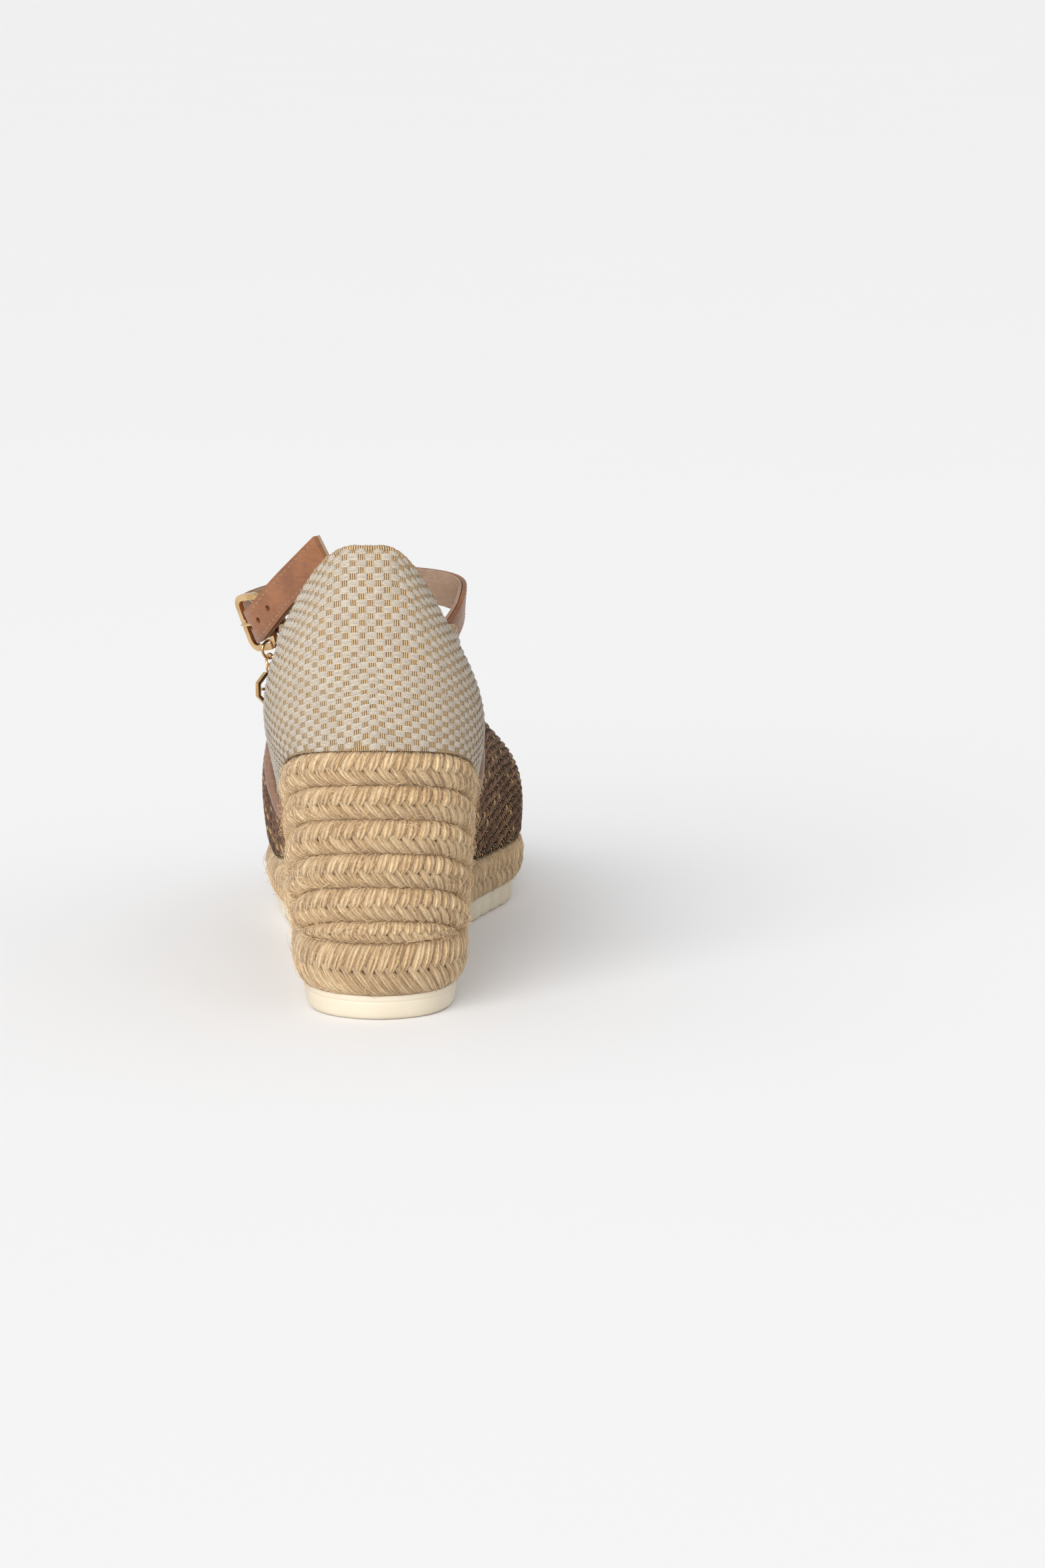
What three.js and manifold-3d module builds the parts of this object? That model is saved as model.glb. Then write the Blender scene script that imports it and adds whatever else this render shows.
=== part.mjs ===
// Left-foot wedge sandal: a wedge wrapped in plaited jute, a canvas heel, a woven vamp
// and a buckled ankle strap with a charm.
// Millimetres. +Z is up, +Y runs from heel to toe and +X is the medial (inner) side.
import * as THREE from "three";
import { mergeVertices } from "three/addons/utils/BufferGeometryUtils.js";
import Module from "manifold-3d";

const wasm = await Module();
wasm.setup();

// ---- Driving dimensions ----
const clearance = 0.3; // between neighbouring pieces
const loopSides = 64; // points round the sole's outline

// Sole outline, measured over the jute at its top edge
const soleLength = 240;
const heelWidth = 66;
const waistMedial = 27.5;
const waistLateral = 35;
const ballMedial = 48.4;
const ballLateral = 47;
const toeShift = 5; // the toe's tip lies this far towards the medial side

// Wedge
const heelHeight = 95; // floor to the jute's top edge at the back
const platformHeight = 24.5; // the same under the ball of the foot
const heelSeatSlope = 0.22;
const rampEnd = 150; // where the footbed reaches the platform
const toeSpring = 4;
const toeSpringReach = 50; // length of sole that lifts, up to the toe's tip
const wedgeTaper = 0.061; // inward lean of the wedge's side, per millimetre of height

// Outsole and braid
const outsoleThickness = 8.7;
const outsoleStep = 2.5; // the rubber's edge lies this far inside the jute
const outsoleEdge = 1.2;
const baseRowHeight = 15.2;
const baseRowSwell = 3.2; // extra height under the heel, easing out where the ramp ends
const rowPitch = 11.9;
const rowCount = 6;
const braidDepth = 6;
const braidRound = 3.2;
const coreClearance = 0.4;
const rowEndHeight = 1.4; // a row stops where it has thinned to this

// Footbed layers
const footbedInset = 5;
const boardThickness = 2;
const foamThickness = 2.4;
const sockThickness = 1.2;

// Heel quarter
const quarterInset = 0.6;
const quarterFront = 0.35 * soleLength;
const canvasThickness = 1.2;
const stiffenerThickness = 1;
const liningThickness = 0.9;
const collarHeight = 163;
const collarDrop = 35;
const collarLevel = 0.05; // share of the collar that runs level round the back
const collarBack = 9;
const collarFront = 58;
const collarMedial = 26;
const collarLateral = 34;
const collarLean = -1.6;
const backBulge = 4.5;
const sideBulge = 3.2;
const quarterColumns = 24;
const quarterLevels = 8;
const stiffenerReach = 0.75; // share of the quarter, from the back seam
const stiffenerRise = 0.75;

// Vamp
const vampInset = 1;
const throatCentre = 0.5625 * soleLength;
const throatSide = 0.375 * soleLength;
const toeEdgeCentre = 0.846 * soleLength;
const toeEdgeSide = 0.892 * soleLength;
const instepHeight = 94;
const toeHeight = 52;
const throatFlare = 18;
const flareEnd = 0.83 * soleLength;
const vampFullness = 0.72; // how upright the vamp's sides stand
const vampThickness = 1.6;
const vampLiningThickness = 0.8;
const bindingRadius = 2.4;
const bindingClearance = 0.6;

// Ankle strap and buckle
const strapWidth = 12;
const strapThickness = 1.5;
const strapLiningThickness = 1.1;
const tailLow = 133; // the tail's lower edge where it passes the collar, and at its end
const tailEndLow = 151;
const holeRadius = 1.1;
const slotStart = 1.4; // the prong's slot, ahead of the buckle's bar
const slotLength = 9.8;
const slotWidth = 2.4;
const barCentre = new THREE.Vector3(-39.5, 72, 126.6);
const barDirection = new THREE.Vector3(0.33, 0, -0.944).normalize();
const frameForward = new THREE.Vector3(-0.611, 0.763, -0.213).normalize();
const frameLength = 16;
const frameWire = 2.2;
const strapPlay = 4.6; // the strap's room in the frame
const frameHeight = strapWidth + strapPlay + 2 * frameWire;
const frameThickness = 1.8;
const frameCorner = 4.6;
const tabWidth = 11;
const tabThickness = 1.2;
const tabEyeRadius = 1.75;
const prongRadius = 0.75;

// Rings and charm
const jumpRingRadius = 3.2;
const jumpRingWire = 0.55;
const linkRingRadius = 2.3;
const linkRingWire = 0.5;
const charmRadius = 6.3;
const charmRim = 1.3;
const charmThickness = 1.6;
const charmSpoke = 0.9;
const charmBossRadius = 2;
const eyeletRadius = 1.5;
const eyeletWire = 0.4;

// ---- Small helpers ----
const up = new THREE.Vector3(0, 0, 1);
const mix = THREE.MathUtils.lerp;
const clamp = THREE.MathUtils.clamp;
const steps = (count, at) => Array.from({ length: count + 1 }, (_, k) => at(k / count, k));
const point = (x, y, z) => new THREE.Vector3(x, y, z);
const along = (origin, direction, distance) => origin.clone().addScaledVector(direction, distance);

function closedGeometry(points, triangles) {
  let volume = 0;
  for (let k = 0; k < triangles.length; k += 3) {
    const [a, b, c] = [points[triangles[k]], points[triangles[k + 1]], points[triangles[k + 2]]];
    volume += a.dot(b.clone().cross(c));
  }
  const index = volume < 0 ? triangles.slice().reverse() : triangles;
  const geometry = new THREE.BufferGeometry();
  geometry.setAttribute("position", new THREE.Float32BufferAttribute(points.flatMap((p) => p.toArray()), 3));
  geometry.setIndex(index);
  geometry.computeVertexNormals();
  return geometry;
}

const quad = (a, b, c, d) => [a, b, c, a, c, d];

// A convex section carried through a list of places; open ends are capped.
function sweep(sections, closed) {
  const size = sections[0].length;
  const points = sections.flat();
  const triangles = [];
  const last = closed ? sections.length : sections.length - 1;
  for (let i = 0; i < last; i += 1) {
    const here = i * size;
    const next = ((i + 1) % sections.length) * size;
    for (let j = 0; j < size; j += 1) {
      const turn = (j + 1) % size;
      triangles.push(...quad(here + j, here + turn, next + turn, next + j));
    }
  }
  if (!closed) {
    const end = (sections.length - 1) * size;
    for (let j = 1; j < size - 1; j += 1) {
      triangles.push(0, j + 1, j, end, end + j, end + j + 1);
    }
  }
  return closedGeometry(points, triangles);
}

// A solid between loops stacked upwards; each loop's points pair up across the sole.
function stack(levels) {
  const size = levels[0].length;
  const points = levels.flat();
  const triangles = [];
  for (let i = 0; i < levels.length - 1; i += 1) {
    for (let k = 0; k < size; k += 1) {
      const turn = (k + 1) % size;
      triangles.push(...quad(i * size + k, i * size + turn, (i + 1) * size + turn, (i + 1) * size + k));
    }
  }
  const top = (levels.length - 1) * size;
  for (let k = 0; k < size / 2 - 1; k += 1) {
    const pair = size - 1 - k;
    triangles.push(...quad(top + k, top + k + 1, top + pair - 1, top + pair));
    triangles.push(...quad(pair, pair - 1, k + 1, k));
  }
  return closedGeometry(points, triangles);
}

// A thin shell: at(s, v, depth) gives the surface point, depth below the outside.
function shell(sCount, vCount, sRange, vRange, outer, inner, at) {
  const rows = vCount + 1;
  const side = (sCount + 1) * rows;
  const points = [outer, inner].flatMap((depth) =>
    steps(sCount, (a) => steps(vCount, (b) => at(mix(...sRange, a), mix(...vRange, b), depth))).flat());
  const triangles = [];
  for (let i = 0; i < sCount; i += 1) {
    for (let j = 0; j < vCount; j += 1) {
      const a = i * rows + j;
      triangles.push(...quad(a, a + rows, a + rows + 1, a + 1));
      triangles.push(...quad(side + a, side + a + 1, side + a + rows + 1, side + a + rows));
    }
  }
  for (let i = 0; i < sCount; i += 1) {
    const low = i * rows;
    const high = low + vCount;
    triangles.push(...quad(low + rows, low, side + low, side + low + rows));
    triangles.push(...quad(high, high + rows, side + high + rows, side + high));
  }
  for (let j = 0; j < vCount; j += 1) {
    const end = sCount * rows + j;
    triangles.push(...quad(j, j + 1, side + j + 1, side + j));
    triangles.push(...quad(end + 1, end, side + end, side + end + 1));
  }
  return closedGeometry(points, triangles);
}

// A round bar through the given places.
function tube(places, sideways, radius, sides = 8) {
  return sweep(places.map((place, k) => {
    const ahead = places[Math.min(k + 1, places.length - 1)].clone().sub(places[Math.max(k - 1, 0)]).normalize();
    const across = along(sideways(k), ahead, -ahead.dot(sideways(k))).normalize();
    const third = ahead.clone().cross(across);
    return steps(sides - 1, (_, j) => {
      const angle = (2 * Math.PI * j) / sides;
      return along(along(place, across, radius * Math.cos(angle)), third, radius * Math.sin(angle));
    });
  }), false);
}

function toManifold(geometry) {
  const bare = geometry.clone();
  bare.deleteAttribute("normal");
  bare.deleteAttribute("uv");
  const merged = mergeVertices(bare, 1e-4);
  return new wasm.Manifold(new wasm.Mesh({
    numProp: 3,
    vertProperties: new Float32Array(merged.attributes.position.array),
    triVerts: new Uint32Array(merged.index.array),
  }));
}

function fromManifold(solid) {
  const mesh = solid.getMesh();
  const geometry = new THREE.BufferGeometry();
  geometry.setAttribute("position", new THREE.Float32BufferAttribute(mesh.vertProperties, 3));
  geometry.setIndex(Array.from(mesh.triVerts));
  geometry.computeVertexNormals();
  return geometry;
}

// ---- Sole outline and wedge surface ----
const outline = (() => {
  const heel = heelWidth / 2;
  const medialWaistToBall = (share) => mix(waistMedial, ballMedial, share);
  const lateralWaistToBall = (share) => mix(waistLateral, ballLateral, share);
  const stations = [
    [0.021, 0.55 * heel, 0.55 * heel],
    [0.067, 0.88 * heel, 0.88 * heel],
    [0.133, heel, heel],
    [0.25, mix(heel, waistMedial, 0.3), mix(heel, waistLateral, 0.3)],
    [0.4, waistMedial, waistLateral],
    [0.52, medialWaistToBall(0.1), lateralWaistToBall(0.3)],
    [0.625, medialWaistToBall(0.52), lateralWaistToBall(0.78)],
    [0.72, medialWaistToBall(0.97), ballLateral],
    [0.8, ballMedial, 0.94 * ballLateral],
    [0.883, 0.91 * ballMedial, 0.77 * ballLateral],
    [0.95, 0.72 * ballMedial, 0.51 * ballLateral],
    [0.988, 0.44 * ballMedial, 0.2 * ballLateral],
  ];
  const medial = stations.map(([share, inner]) => point(inner, share * soleLength, 0));
  const lateral = stations.map(([share, , outer]) => point(-outer, share * soleLength, 0)).reverse();
  const tips = [point(0, 0, 0), point(toeShift, soleLength, 0)];
  return new THREE.CatmullRomCurve3([tips[0], ...medial, tips[1], ...lateral], true, "catmullrom", 0.5);
})();

// t runs from the heel's back, 0, up the medial side to the toe at 0.5; negative t is lateral.
function rim(t) {
  const turn = ((t % 1) + 1) % 1;
  const place = outline.getPoint(turn);
  const heading = outline.getPoint((turn + 0.001) % 1).sub(outline.getPoint((turn + 0.999) % 1)).normalize();
  return { place, outward: point(heading.y, -heading.x, 0) };
}

function toeLift(y) {
  const share = clamp(1 - (soleLength - y) / toeSpringReach, 0, 1);
  return toeSpring * share * share;
}

function wedgeTop(y) {
  const t = clamp(y / rampEnd, 0, 1);
  const rise = heelHeight - platformHeight;
  const startSlope = (-heelSeatSlope * rampEnd) / rise;
  const ramp = 2 * t ** 3 - 3 * t ** 2 + 1 + startSlope * (t ** 3 - 2 * t ** 2 + t);
  return platformHeight + rise * ramp + toeLift(y);
}

// A point on the wedge's leaning side, inset further by depth.
function wedgeSide(t, height, depth) {
  const { place, outward } = rim(t);
  const inset = depth + wedgeTaper * (wedgeTop(place.y) - height);
  return along(place, outward, -inset).setZ(height);
}

// A point inset from the outline, at a height above the wedge's top surface.
function onWedge(t, depth, height) {
  const { place, outward } = rim(t);
  const inside = along(place, outward, -depth);
  return inside.setZ(wedgeTop(inside.y) + height);
}

const ring = (at) => steps(loopSides - 1, (_, k) => at((k + 0.5) / loopSides));

// ---- Wedge ----
function outsole() {
  const level = (height, depth) => ring((t) => {
    const { place, outward } = rim(t);
    return wedgeSide(t, height + toeLift(along(place, outward, -depth).y), depth);
  });
  return stack([
    level(0, outsoleStep + outsoleEdge),
    level(outsoleEdge, outsoleStep),
    level(outsoleThickness, outsoleStep),
  ]);
}

function wedgeCore() {
  const depth = braidDepth + coreClearance;
  const base = (t) => outsoleThickness + clearance + toeLift(rim(t).place.y);
  return stack([
    ring((t) => wedgeSide(t, base(t), depth)),
    ring((t) => onWedge(t, depth, 0)),
  ]);
}

// The braid's section: flat on the core, rounded outside; heights(y) gives its low and high edge.
function braidSection(t, heights) {
  const { place, outward } = rim(t);
  const edge = (depth, rise) => {
    const { low, high } = heights(along(place, outward, -depth).y);
    return wedgeSide(t, mix(low, high, rise), depth);
  };
  const { low, high } = heights(place.y);
  const round = Math.min(braidRound, (high - low) / 2);
  const outside = [-90, -45, 0, 45, 90].map((degrees) => {
    const angle = THREE.MathUtils.degToRad(degrees);
    return edge(round * (1 - Math.cos(angle)), (1 + Math.sin(angle)) / 2);
  });
  return [edge(braidDepth, 0), ...outside, edge(braidDepth, 1)];
}

function baseHeights(y) {
  const low = outsoleThickness + clearance + toeLift(y);
  const swell = baseRowSwell * (1 - THREE.MathUtils.smoothstep(y, 0, rampEnd));
  return { low, high: low + baseRowHeight + swell };
}

function rowHeights(row, y) {
  const high = wedgeTop(y) - row * rowPitch - clearance / 2;
  const low = Math.max(high - rowPitch + clearance, baseHeights(y).high + clearance);
  return { low: Math.min(low, high), high };
}

// How far round from the heel's back a row runs before the base row pinches it out.
function rowReach(row, sign) {
  let [inside, outside] = [0, 0.5];
  for (let k = 0; k < 30; k += 1) {
    const middle = (inside + outside) / 2;
    const { low, high } = rowHeights(row, rim(sign * middle).place.y);
    if (high - low > rowEndHeight) inside = middle;
    else outside = middle;
  }
  return inside;
}

function juteRow(row) {
  const [lateral, medial] = [-rowReach(row, -1), rowReach(row, 1)];
  const count = Math.ceil((medial - lateral) * loopSides) + 4;
  return sweep(steps(count, (share) =>
    braidSection(mix(lateral, medial, share), (y) => rowHeights(row, y))), false);
}

// ---- Footbed ----
function footbedLayer(below, thickness) {
  const level = (height) => ring((t) => onWedge(t, footbedInset, height));
  return stack([level(below), level(below + thickness)]);
}

// ---- Heel quarter ----
// Where the outline reaches the given distance from the heel, on the medial side.
function turnAt(y) {
  let [low, high] = [0.02, 0.48];
  for (let k = 0; k < 30; k += 1) {
    const middle = (low + high) / 2;
    if (rim(middle).place.y < y) low = middle;
    else high = middle;
  }
  return low;
}

const quarterTurn = turnAt(quarterFront);

function quarterSurface(s, v) {
  const { place, outward } = rim(s * quarterTurn);
  const base = along(place, outward, -quarterInset).setZ(wedgeTop(place.y) + clearance);
  const reach = Math.abs(s);
  const halfWidth = s < 0 ? -collarLateral : collarMedial;
  const collar = point(
    collarLean * (1 - reach) + halfWidth * (1 - (1 - reach) ** 1.8),
    mix(collarBack, collarFront, reach ** 1.75),
    collarHeight - collarDrop * THREE.MathUtils.smoothstep(reach, collarLevel, 0.9),
  );
  const bulge = backBulge + sideBulge * Math.sin(Math.PI * reach);
  return along(base.lerp(collar, v), outward, bulge * Math.sin(Math.PI * v ** 0.85));
}

// The same point, depth below the surface and square to it.
function below(surface, s, v, depth, outwardHint) {
  const tiny = 0.004;
  const alongS = surface(s + tiny, v).sub(surface(s - tiny, v));
  const alongV = surface(s, Math.min(v + tiny, 1)).sub(surface(s, Math.max(v - tiny, 0)));
  const normal = alongS.cross(alongV).normalize();
  if (normal.dot(outwardHint) < 0) normal.negate();
  return { place: along(surface(s, v), normal, -depth), normal };
}

function quarterPoint(s, v, depth) {
  const reach = clamp(s, -0.995, 0.995);
  const { outward } = rim(reach * quarterTurn);
  const { normal } = below(quarterSurface, reach, v, depth, outward);
  const direction = outward.clone().lerp(normal, Math.min(1, 3 * v)).normalize();
  return along(quarterSurface(s, v), direction, -depth);
}

const canvasDepth = [0, canvasThickness];
const stiffenerDepth = [canvasThickness + clearance, canvasThickness + clearance + stiffenerThickness];
const liningStart = stiffenerDepth[1] + clearance;
const heelLiningDepth = [liningStart, liningStart + liningThickness];
const quarterShell = (reach, rise, depths) => shell(
  Math.round(quarterColumns * reach), Math.round(quarterLevels * rise), [-reach, reach], [0, rise], ...depths, quarterPoint);

// ---- Vamp ----
function outlineAt(y, sign) {
  const { place, outward } = rim(sign * turnAt(y));
  return along(place, outward, -vampInset);
}

const bezier = (a, b, c, d, t) =>
  (1 - t) ** 3 * a + 3 * t * (1 - t) ** 2 * b + 3 * t * t * (1 - t) * c + t ** 3 * d;

// s runs from the lateral edge, -1, over the instep to the medial edge; v from throat to toe.
function vampSurface(s, v) {
  const reach = Math.min(Math.abs(s), 1);
  const sign = s < 0 ? -1 : 1;
  const throat = mix(throatCentre, throatSide, reach ** 1.6);
  const toe = mix(toeEdgeCentre, toeEdgeSide, reach ** 2);
  const y = mix(throat, toe, v);
  const foot = outlineAt(y, sign);
  const footHeight = wedgeTop(y) + clearance;
  const slope = clamp((y - throatCentre) / (toeEdgeCentre - throatCentre), 0, 1.2);
  const crown = mix(instepHeight, toeHeight, slope);
  const flare = throatFlare * clamp((flareEnd - y) / (flareEnd - throatSide), 0, 1);
  const outer = foot.x + sign * flare;
  const t = 1 - reach;
  return point(
    bezier(foot.x, outer, 0.92 * outer, 0, t),
    y,
    bezier(footHeight, mix(footHeight, crown, vampFullness), crown, crown, t),
  );
}

function vampPoint(s, v, depth) {
  const reach = clamp(s, -0.99, 0.99);
  const hint = point(s, 0, 1 - Math.abs(s));
  const { normal } = below(vampSurface, reach, v, depth, hint);
  return along(vampSurface(s, v), normal, -depth);
}

const vampDepth = [0, vampThickness];
const vampLiningDepth = [vampThickness + clearance, vampThickness + clearance + vampLiningThickness];
const vampShell = (depths) => shell(24, 7, [-1, 1], [0, 1], ...depths, vampPoint);

// A rolled edge that lies against the vamp's throat (v = 0) or its toe edge (v = 1).
function edgeBinding(v, reach) {
  const middle = vampLiningDepth[1] / 2;
  const inside = v === 0 ? 0.03 : 0.97;
  const place = (s) => {
    const edge = vampPoint(s, v, middle);
    const away = edge.clone().sub(vampPoint(s, inside, middle)).normalize();
    return along(edge, away, bindingRadius + bindingClearance);
  };
  const places = steps(30, (share) => place(mix(-reach, reach, share)));
  return tube(places, (k) => places[k].clone().sub(point(0, places[k].y, 0)).normalize(), bindingRadius);
}

// ---- Ankle strap ----
const frameOutward = frameForward.clone().cross(barDirection).normalize();
const atFrame = (forward, across, outward) =>
  along(along(along(barCentre, frameForward, forward), barDirection, across), frameOutward, outward);

const strapStack = strapThickness + clearance + strapLiningThickness;
const tabEyeOuter = tabEyeRadius + tabThickness;
const overBar = tabEyeOuter + clearance + strapStack / 2;
const underBar = -(frameThickness / 2 + clearance + strapStack / 2);
const frontBar = frameLength - frameWire;

// Centre line of the strap, each point with the direction that its face looks in: from its
// root inside the medial quarter, round the ankle, through the buckle, to the free tail.
const strapRoute = [
  [point(17.6, 50, 114), point(0.94, -0.34, 0)],
  [point(21.2, 61, 120), point(0.95, -0.3, 0)],
  [point(27, 73, 129), point(0.98, 0.1, 0)],
  [point(26, 90, 133), point(0.85, 0.55, 0)],
  [point(10, 103, 134), point(0.3, 0.95, 0)],
  [point(-14, 108, 133), point(-0.12, 0.99, 0)],
  [point(-36, 103, 129), point(-0.55, 0.83, 0)],
  [point(-48, 93, 126), point(-0.96, 0.2, -0.1)],
  [atFrame(frontBar - 1.5, 0, underBar - 0.3), frameOutward],
  [atFrame(1.5, 0, overBar), frameOutward],
  [point(-33.5, 54, tailLow + strapWidth / 2), point(-0.76, -0.62, -0.15)],
  [point(-18, 35, tailEndLow + strapWidth / 2), point(-0.76, -0.63, -0.1)],
];
const strapPath = new THREE.CatmullRomCurve3(strapRoute.map(([place]) => place), false, "centripetal");
const strapFacing = new THREE.CatmullRomCurve3(strapRoute.map(([, face]) => face), false, "catmullrom", 0.5);

function strapFrame(t) {
  const ahead = strapPath.getTangent(t);
  const face = strapFacing.getPoint(t);
  const outward = along(face, ahead, -ahead.dot(face)).normalize();
  return { place: strapPath.getPoint(t), outward, across: ahead.clone().cross(outward) };
}

function ribbon(frames, width, low, high, hand = 1) {
  return sweep(frames.map(({ place, outward, across }) => {
    const corner = (side, depth) => along(along(place, across, (hand * side * width) / 2), outward, depth);
    return [corner(-1, low), corner(1, low), corner(1, high), corner(-1, high)];
  }), false);
}

const oriented = (x, y, z, place) => new THREE.Matrix4().makeBasis(x, y, z).setPosition(place);

// Punched holes, and the long one that the prong passes through.
function strapCutters() {
  const first = 8 / (strapRoute.length - 1);
  const spacing = 0.33 / (strapRoute.length - 1);
  const round = [-2, -1, 4, 5].map((k) => {
    const { place, outward, across } = strapFrame(first + k * spacing);
    const cutter = new THREE.CylinderGeometry(holeRadius, holeRadius, 8, 12);
    return cutter.applyMatrix4(oriented(outward.clone().cross(across), outward, across, place));
  });
  const slot = new THREE.BoxGeometry(slotLength, slotWidth, 12);
  const middle = slotStart + slotLength / 2;
  slot.applyMatrix4(oriented(frameForward, barDirection, frameOutward, atFrame(middle, 0, 1)));
  return [...round, slot];
}

// Opposite hands give the two layers' touching faces the same facets where the strap twists.
function strapLayer(low, high, hand) {
  const band = ribbon(steps(64, (share) => strapFrame(share)), strapWidth, low, high, hand);
  return fromManifold(strapCutters().reduce((left, cutter) => left.subtract(toManifold(cutter)), toManifold(band)));
}

const strapLayers = {
  outer: [strapStack / 2 - strapThickness, strapStack / 2, 1],
  lining: [-strapStack / 2, -strapStack / 2 + strapLiningThickness, -1],
};

// The folded tab: its root lies inside the lateral quarter, its eye holds the buckle's bar.
function buckleTab() {
  const eye = tabEyeRadius + tabThickness / 2;
  const root = [
    { place: point(-25.4, 50, 117), outward: point(-0.95, -0.3, 0), across: point(0.1, 0.1, -1) },
    { place: point(-27.2, 57.5, 118.2), outward: point(-0.97, -0.2, 0), across: point(0.12, 0.1, -1) },
    { place: point(-29.2, 63.5, 120), outward: point(-0.88, -0.45, -0.1), across: point(0.18, 0.05, -1) },
  ];
  const onBar = steps(12, (share) => {
    const angle = mix(-2.2, 2.1, share);
    const outward = frameOutward.clone().multiplyScalar(Math.sin(angle))
      .addScaledVector(frameForward, Math.cos(angle));
    return { place: along(barCentre, outward, eye), outward: outward.clone().negate(), across: barDirection };
  });
  const frames = [...root, ...onBar].map(({ place, outward, across }) => ({
    place, outward: outward.clone().normalize(), across: across.clone().normalize() }));
  return frames;
}

function buckleTabSolid() {
  const cut = new THREE.BoxGeometry(9, slotWidth, 9);
  cut.applyMatrix4(oriented(frameForward, barDirection, frameOutward, atFrame(0.5, 0, 0)));
  const band = ribbon(buckleTab(), tabWidth, -tabThickness / 2, tabThickness / 2);
  return fromManifold(toManifold(band).subtract(toManifold(cut)));
}

function roundedRectangle(path, low, high, left, right, corner) {
  path.moveTo(low + corner, left);
  path.lineTo(high - corner, left);
  path.absarc(high - corner, left + corner, corner, -Math.PI / 2, 0, false);
  path.lineTo(high, right - corner);
  path.absarc(high - corner, right - corner, corner, 0, Math.PI / 2, false);
  path.lineTo(low + corner, right);
  path.absarc(low + corner, right - corner, corner, Math.PI / 2, Math.PI, false);
  path.lineTo(low, left + corner);
  path.absarc(low + corner, left + corner, corner, Math.PI, 1.5 * Math.PI, false);
  return path;
}

function buckleFrame() {
  const [low, high] = [-frameWire / 2, frameLength - frameWire / 2];
  const [left, right] = [-frameHeight / 2, frameHeight / 2];
  const shape = roundedRectangle(new THREE.Shape(), low, high, left, right, frameCorner);
  shape.holes.push(roundedRectangle(new THREE.Path(), low + frameWire, high - frameWire,
    left + frameWire, right - frameWire, frameCorner - frameWire));
  const solid = new THREE.ExtrudeGeometry(shape, { depth: frameThickness, bevelEnabled: false, curveSegments: 6 });
  solid.translate(0, 0, -frameThickness / 2);
  return solid.applyMatrix4(oriented(frameForward, barDirection, frameOutward, barCentre));
}

// The prong: an eye round the bar in the tab's slot, and a pin that rests on the front bar.
function buckleProng() {
  const eye = Math.hypot(frameWire, frameThickness) / 2 + clearance + prongRadius;
  const rest = frameThickness / 2 + clearance + prongRadius;
  const turn = steps(10, (share) => {
    const angle = mix(-2.6, 1.25, share);
    return atFrame(eye * Math.cos(angle), 0, eye * Math.sin(angle));
  });
  const pin = [0.35, 0.6, 0.85, 1, 1.1].map((share) => atFrame(frontBar * share, 0, mix(eye, rest, share)));
  return tube([...turn, ...pin], () => barDirection, prongRadius);
}

// ---- Rings and charm ----
const ringSeat = atFrame(4.4, (frameHeight - frameWire) / 2, 0);
const barRound = Math.hypot(frameWire, frameThickness) / 2;
const ringAcross = frameForward.clone().setZ(0).normalize();
const ringAlong = up.clone().cross(ringAcross);
const jumpCentre = along(ringSeat, up, -(jumpRingRadius - jumpRingWire - barRound - clearance));
const jumpBottom = along(jumpCentre, up, -jumpRingRadius);
const linkCentre = along(jumpBottom, up, -(linkRingRadius - linkRingWire - jumpRingWire - clearance));
const linkBottom = along(linkCentre, up, -linkRingRadius);
const eyeletInner = eyeletRadius - eyeletWire;
const eyeletCentre = along(linkBottom, up, -(eyeletInner - linkRingWire - clearance));
const charmCentre = along(eyeletCentre, up, -(eyeletRadius + charmRadius * Math.cos(Math.PI / 8) - 0.2));

function wireRing(radius, wire, centre, axis) {
  const side = up.clone().cross(axis).normalize();
  const solid = new THREE.TorusGeometry(radius, wire, 8, 24);
  return solid.applyMatrix4(oriented(side.clone().cross(axis), side, axis, centre));
}

function octagon(path, radius) {
  steps(7, (_, k) => {
    const angle = ((k + 0.5) * Math.PI) / 4;
    const [x, y] = [radius * Math.cos(angle), radius * Math.sin(angle)];
    return k === 0 ? path.moveTo(x, y) : path.lineTo(x, y);
  });
  return path.closePath();
}

// An eight-sided rim with four spokes, a domed boss and the eyelet that it hangs by.
function charm() {
  const rimShape = octagon(new THREE.Shape(), charmRadius);
  rimShape.holes.push(octagon(new THREE.Path(), charmRadius - charmRim));
  const flat = (shape) => new THREE.ExtrudeGeometry(shape, { depth: charmThickness, bevelEnabled: false })
    .translate(0, 0, -charmThickness / 2);
  const spoke = () => new THREE.BoxGeometry(2 * charmRadius - charmRim, charmSpoke, charmSpoke);
  const boss = new THREE.SphereGeometry(charmBossRadius, 16, 10).scale(1, 1, 0.6);
  const eyelet = new THREE.TorusGeometry(eyeletRadius, eyeletWire, 8, 16)
    .translate(0, eyeletCentre.z - charmCentre.z, 0);
  const solid = [spoke(), spoke().rotateZ(Math.PI / 2), boss, eyelet]
    .reduce((whole, piece) => whole.add(toManifold(piece)), toManifold(flat(rimShape)));
  const placed = fromManifold(solid);
  return placed.applyMatrix4(oriented(ringAlong, up, ringAlong.clone().cross(up), charmCentre));
}

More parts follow.
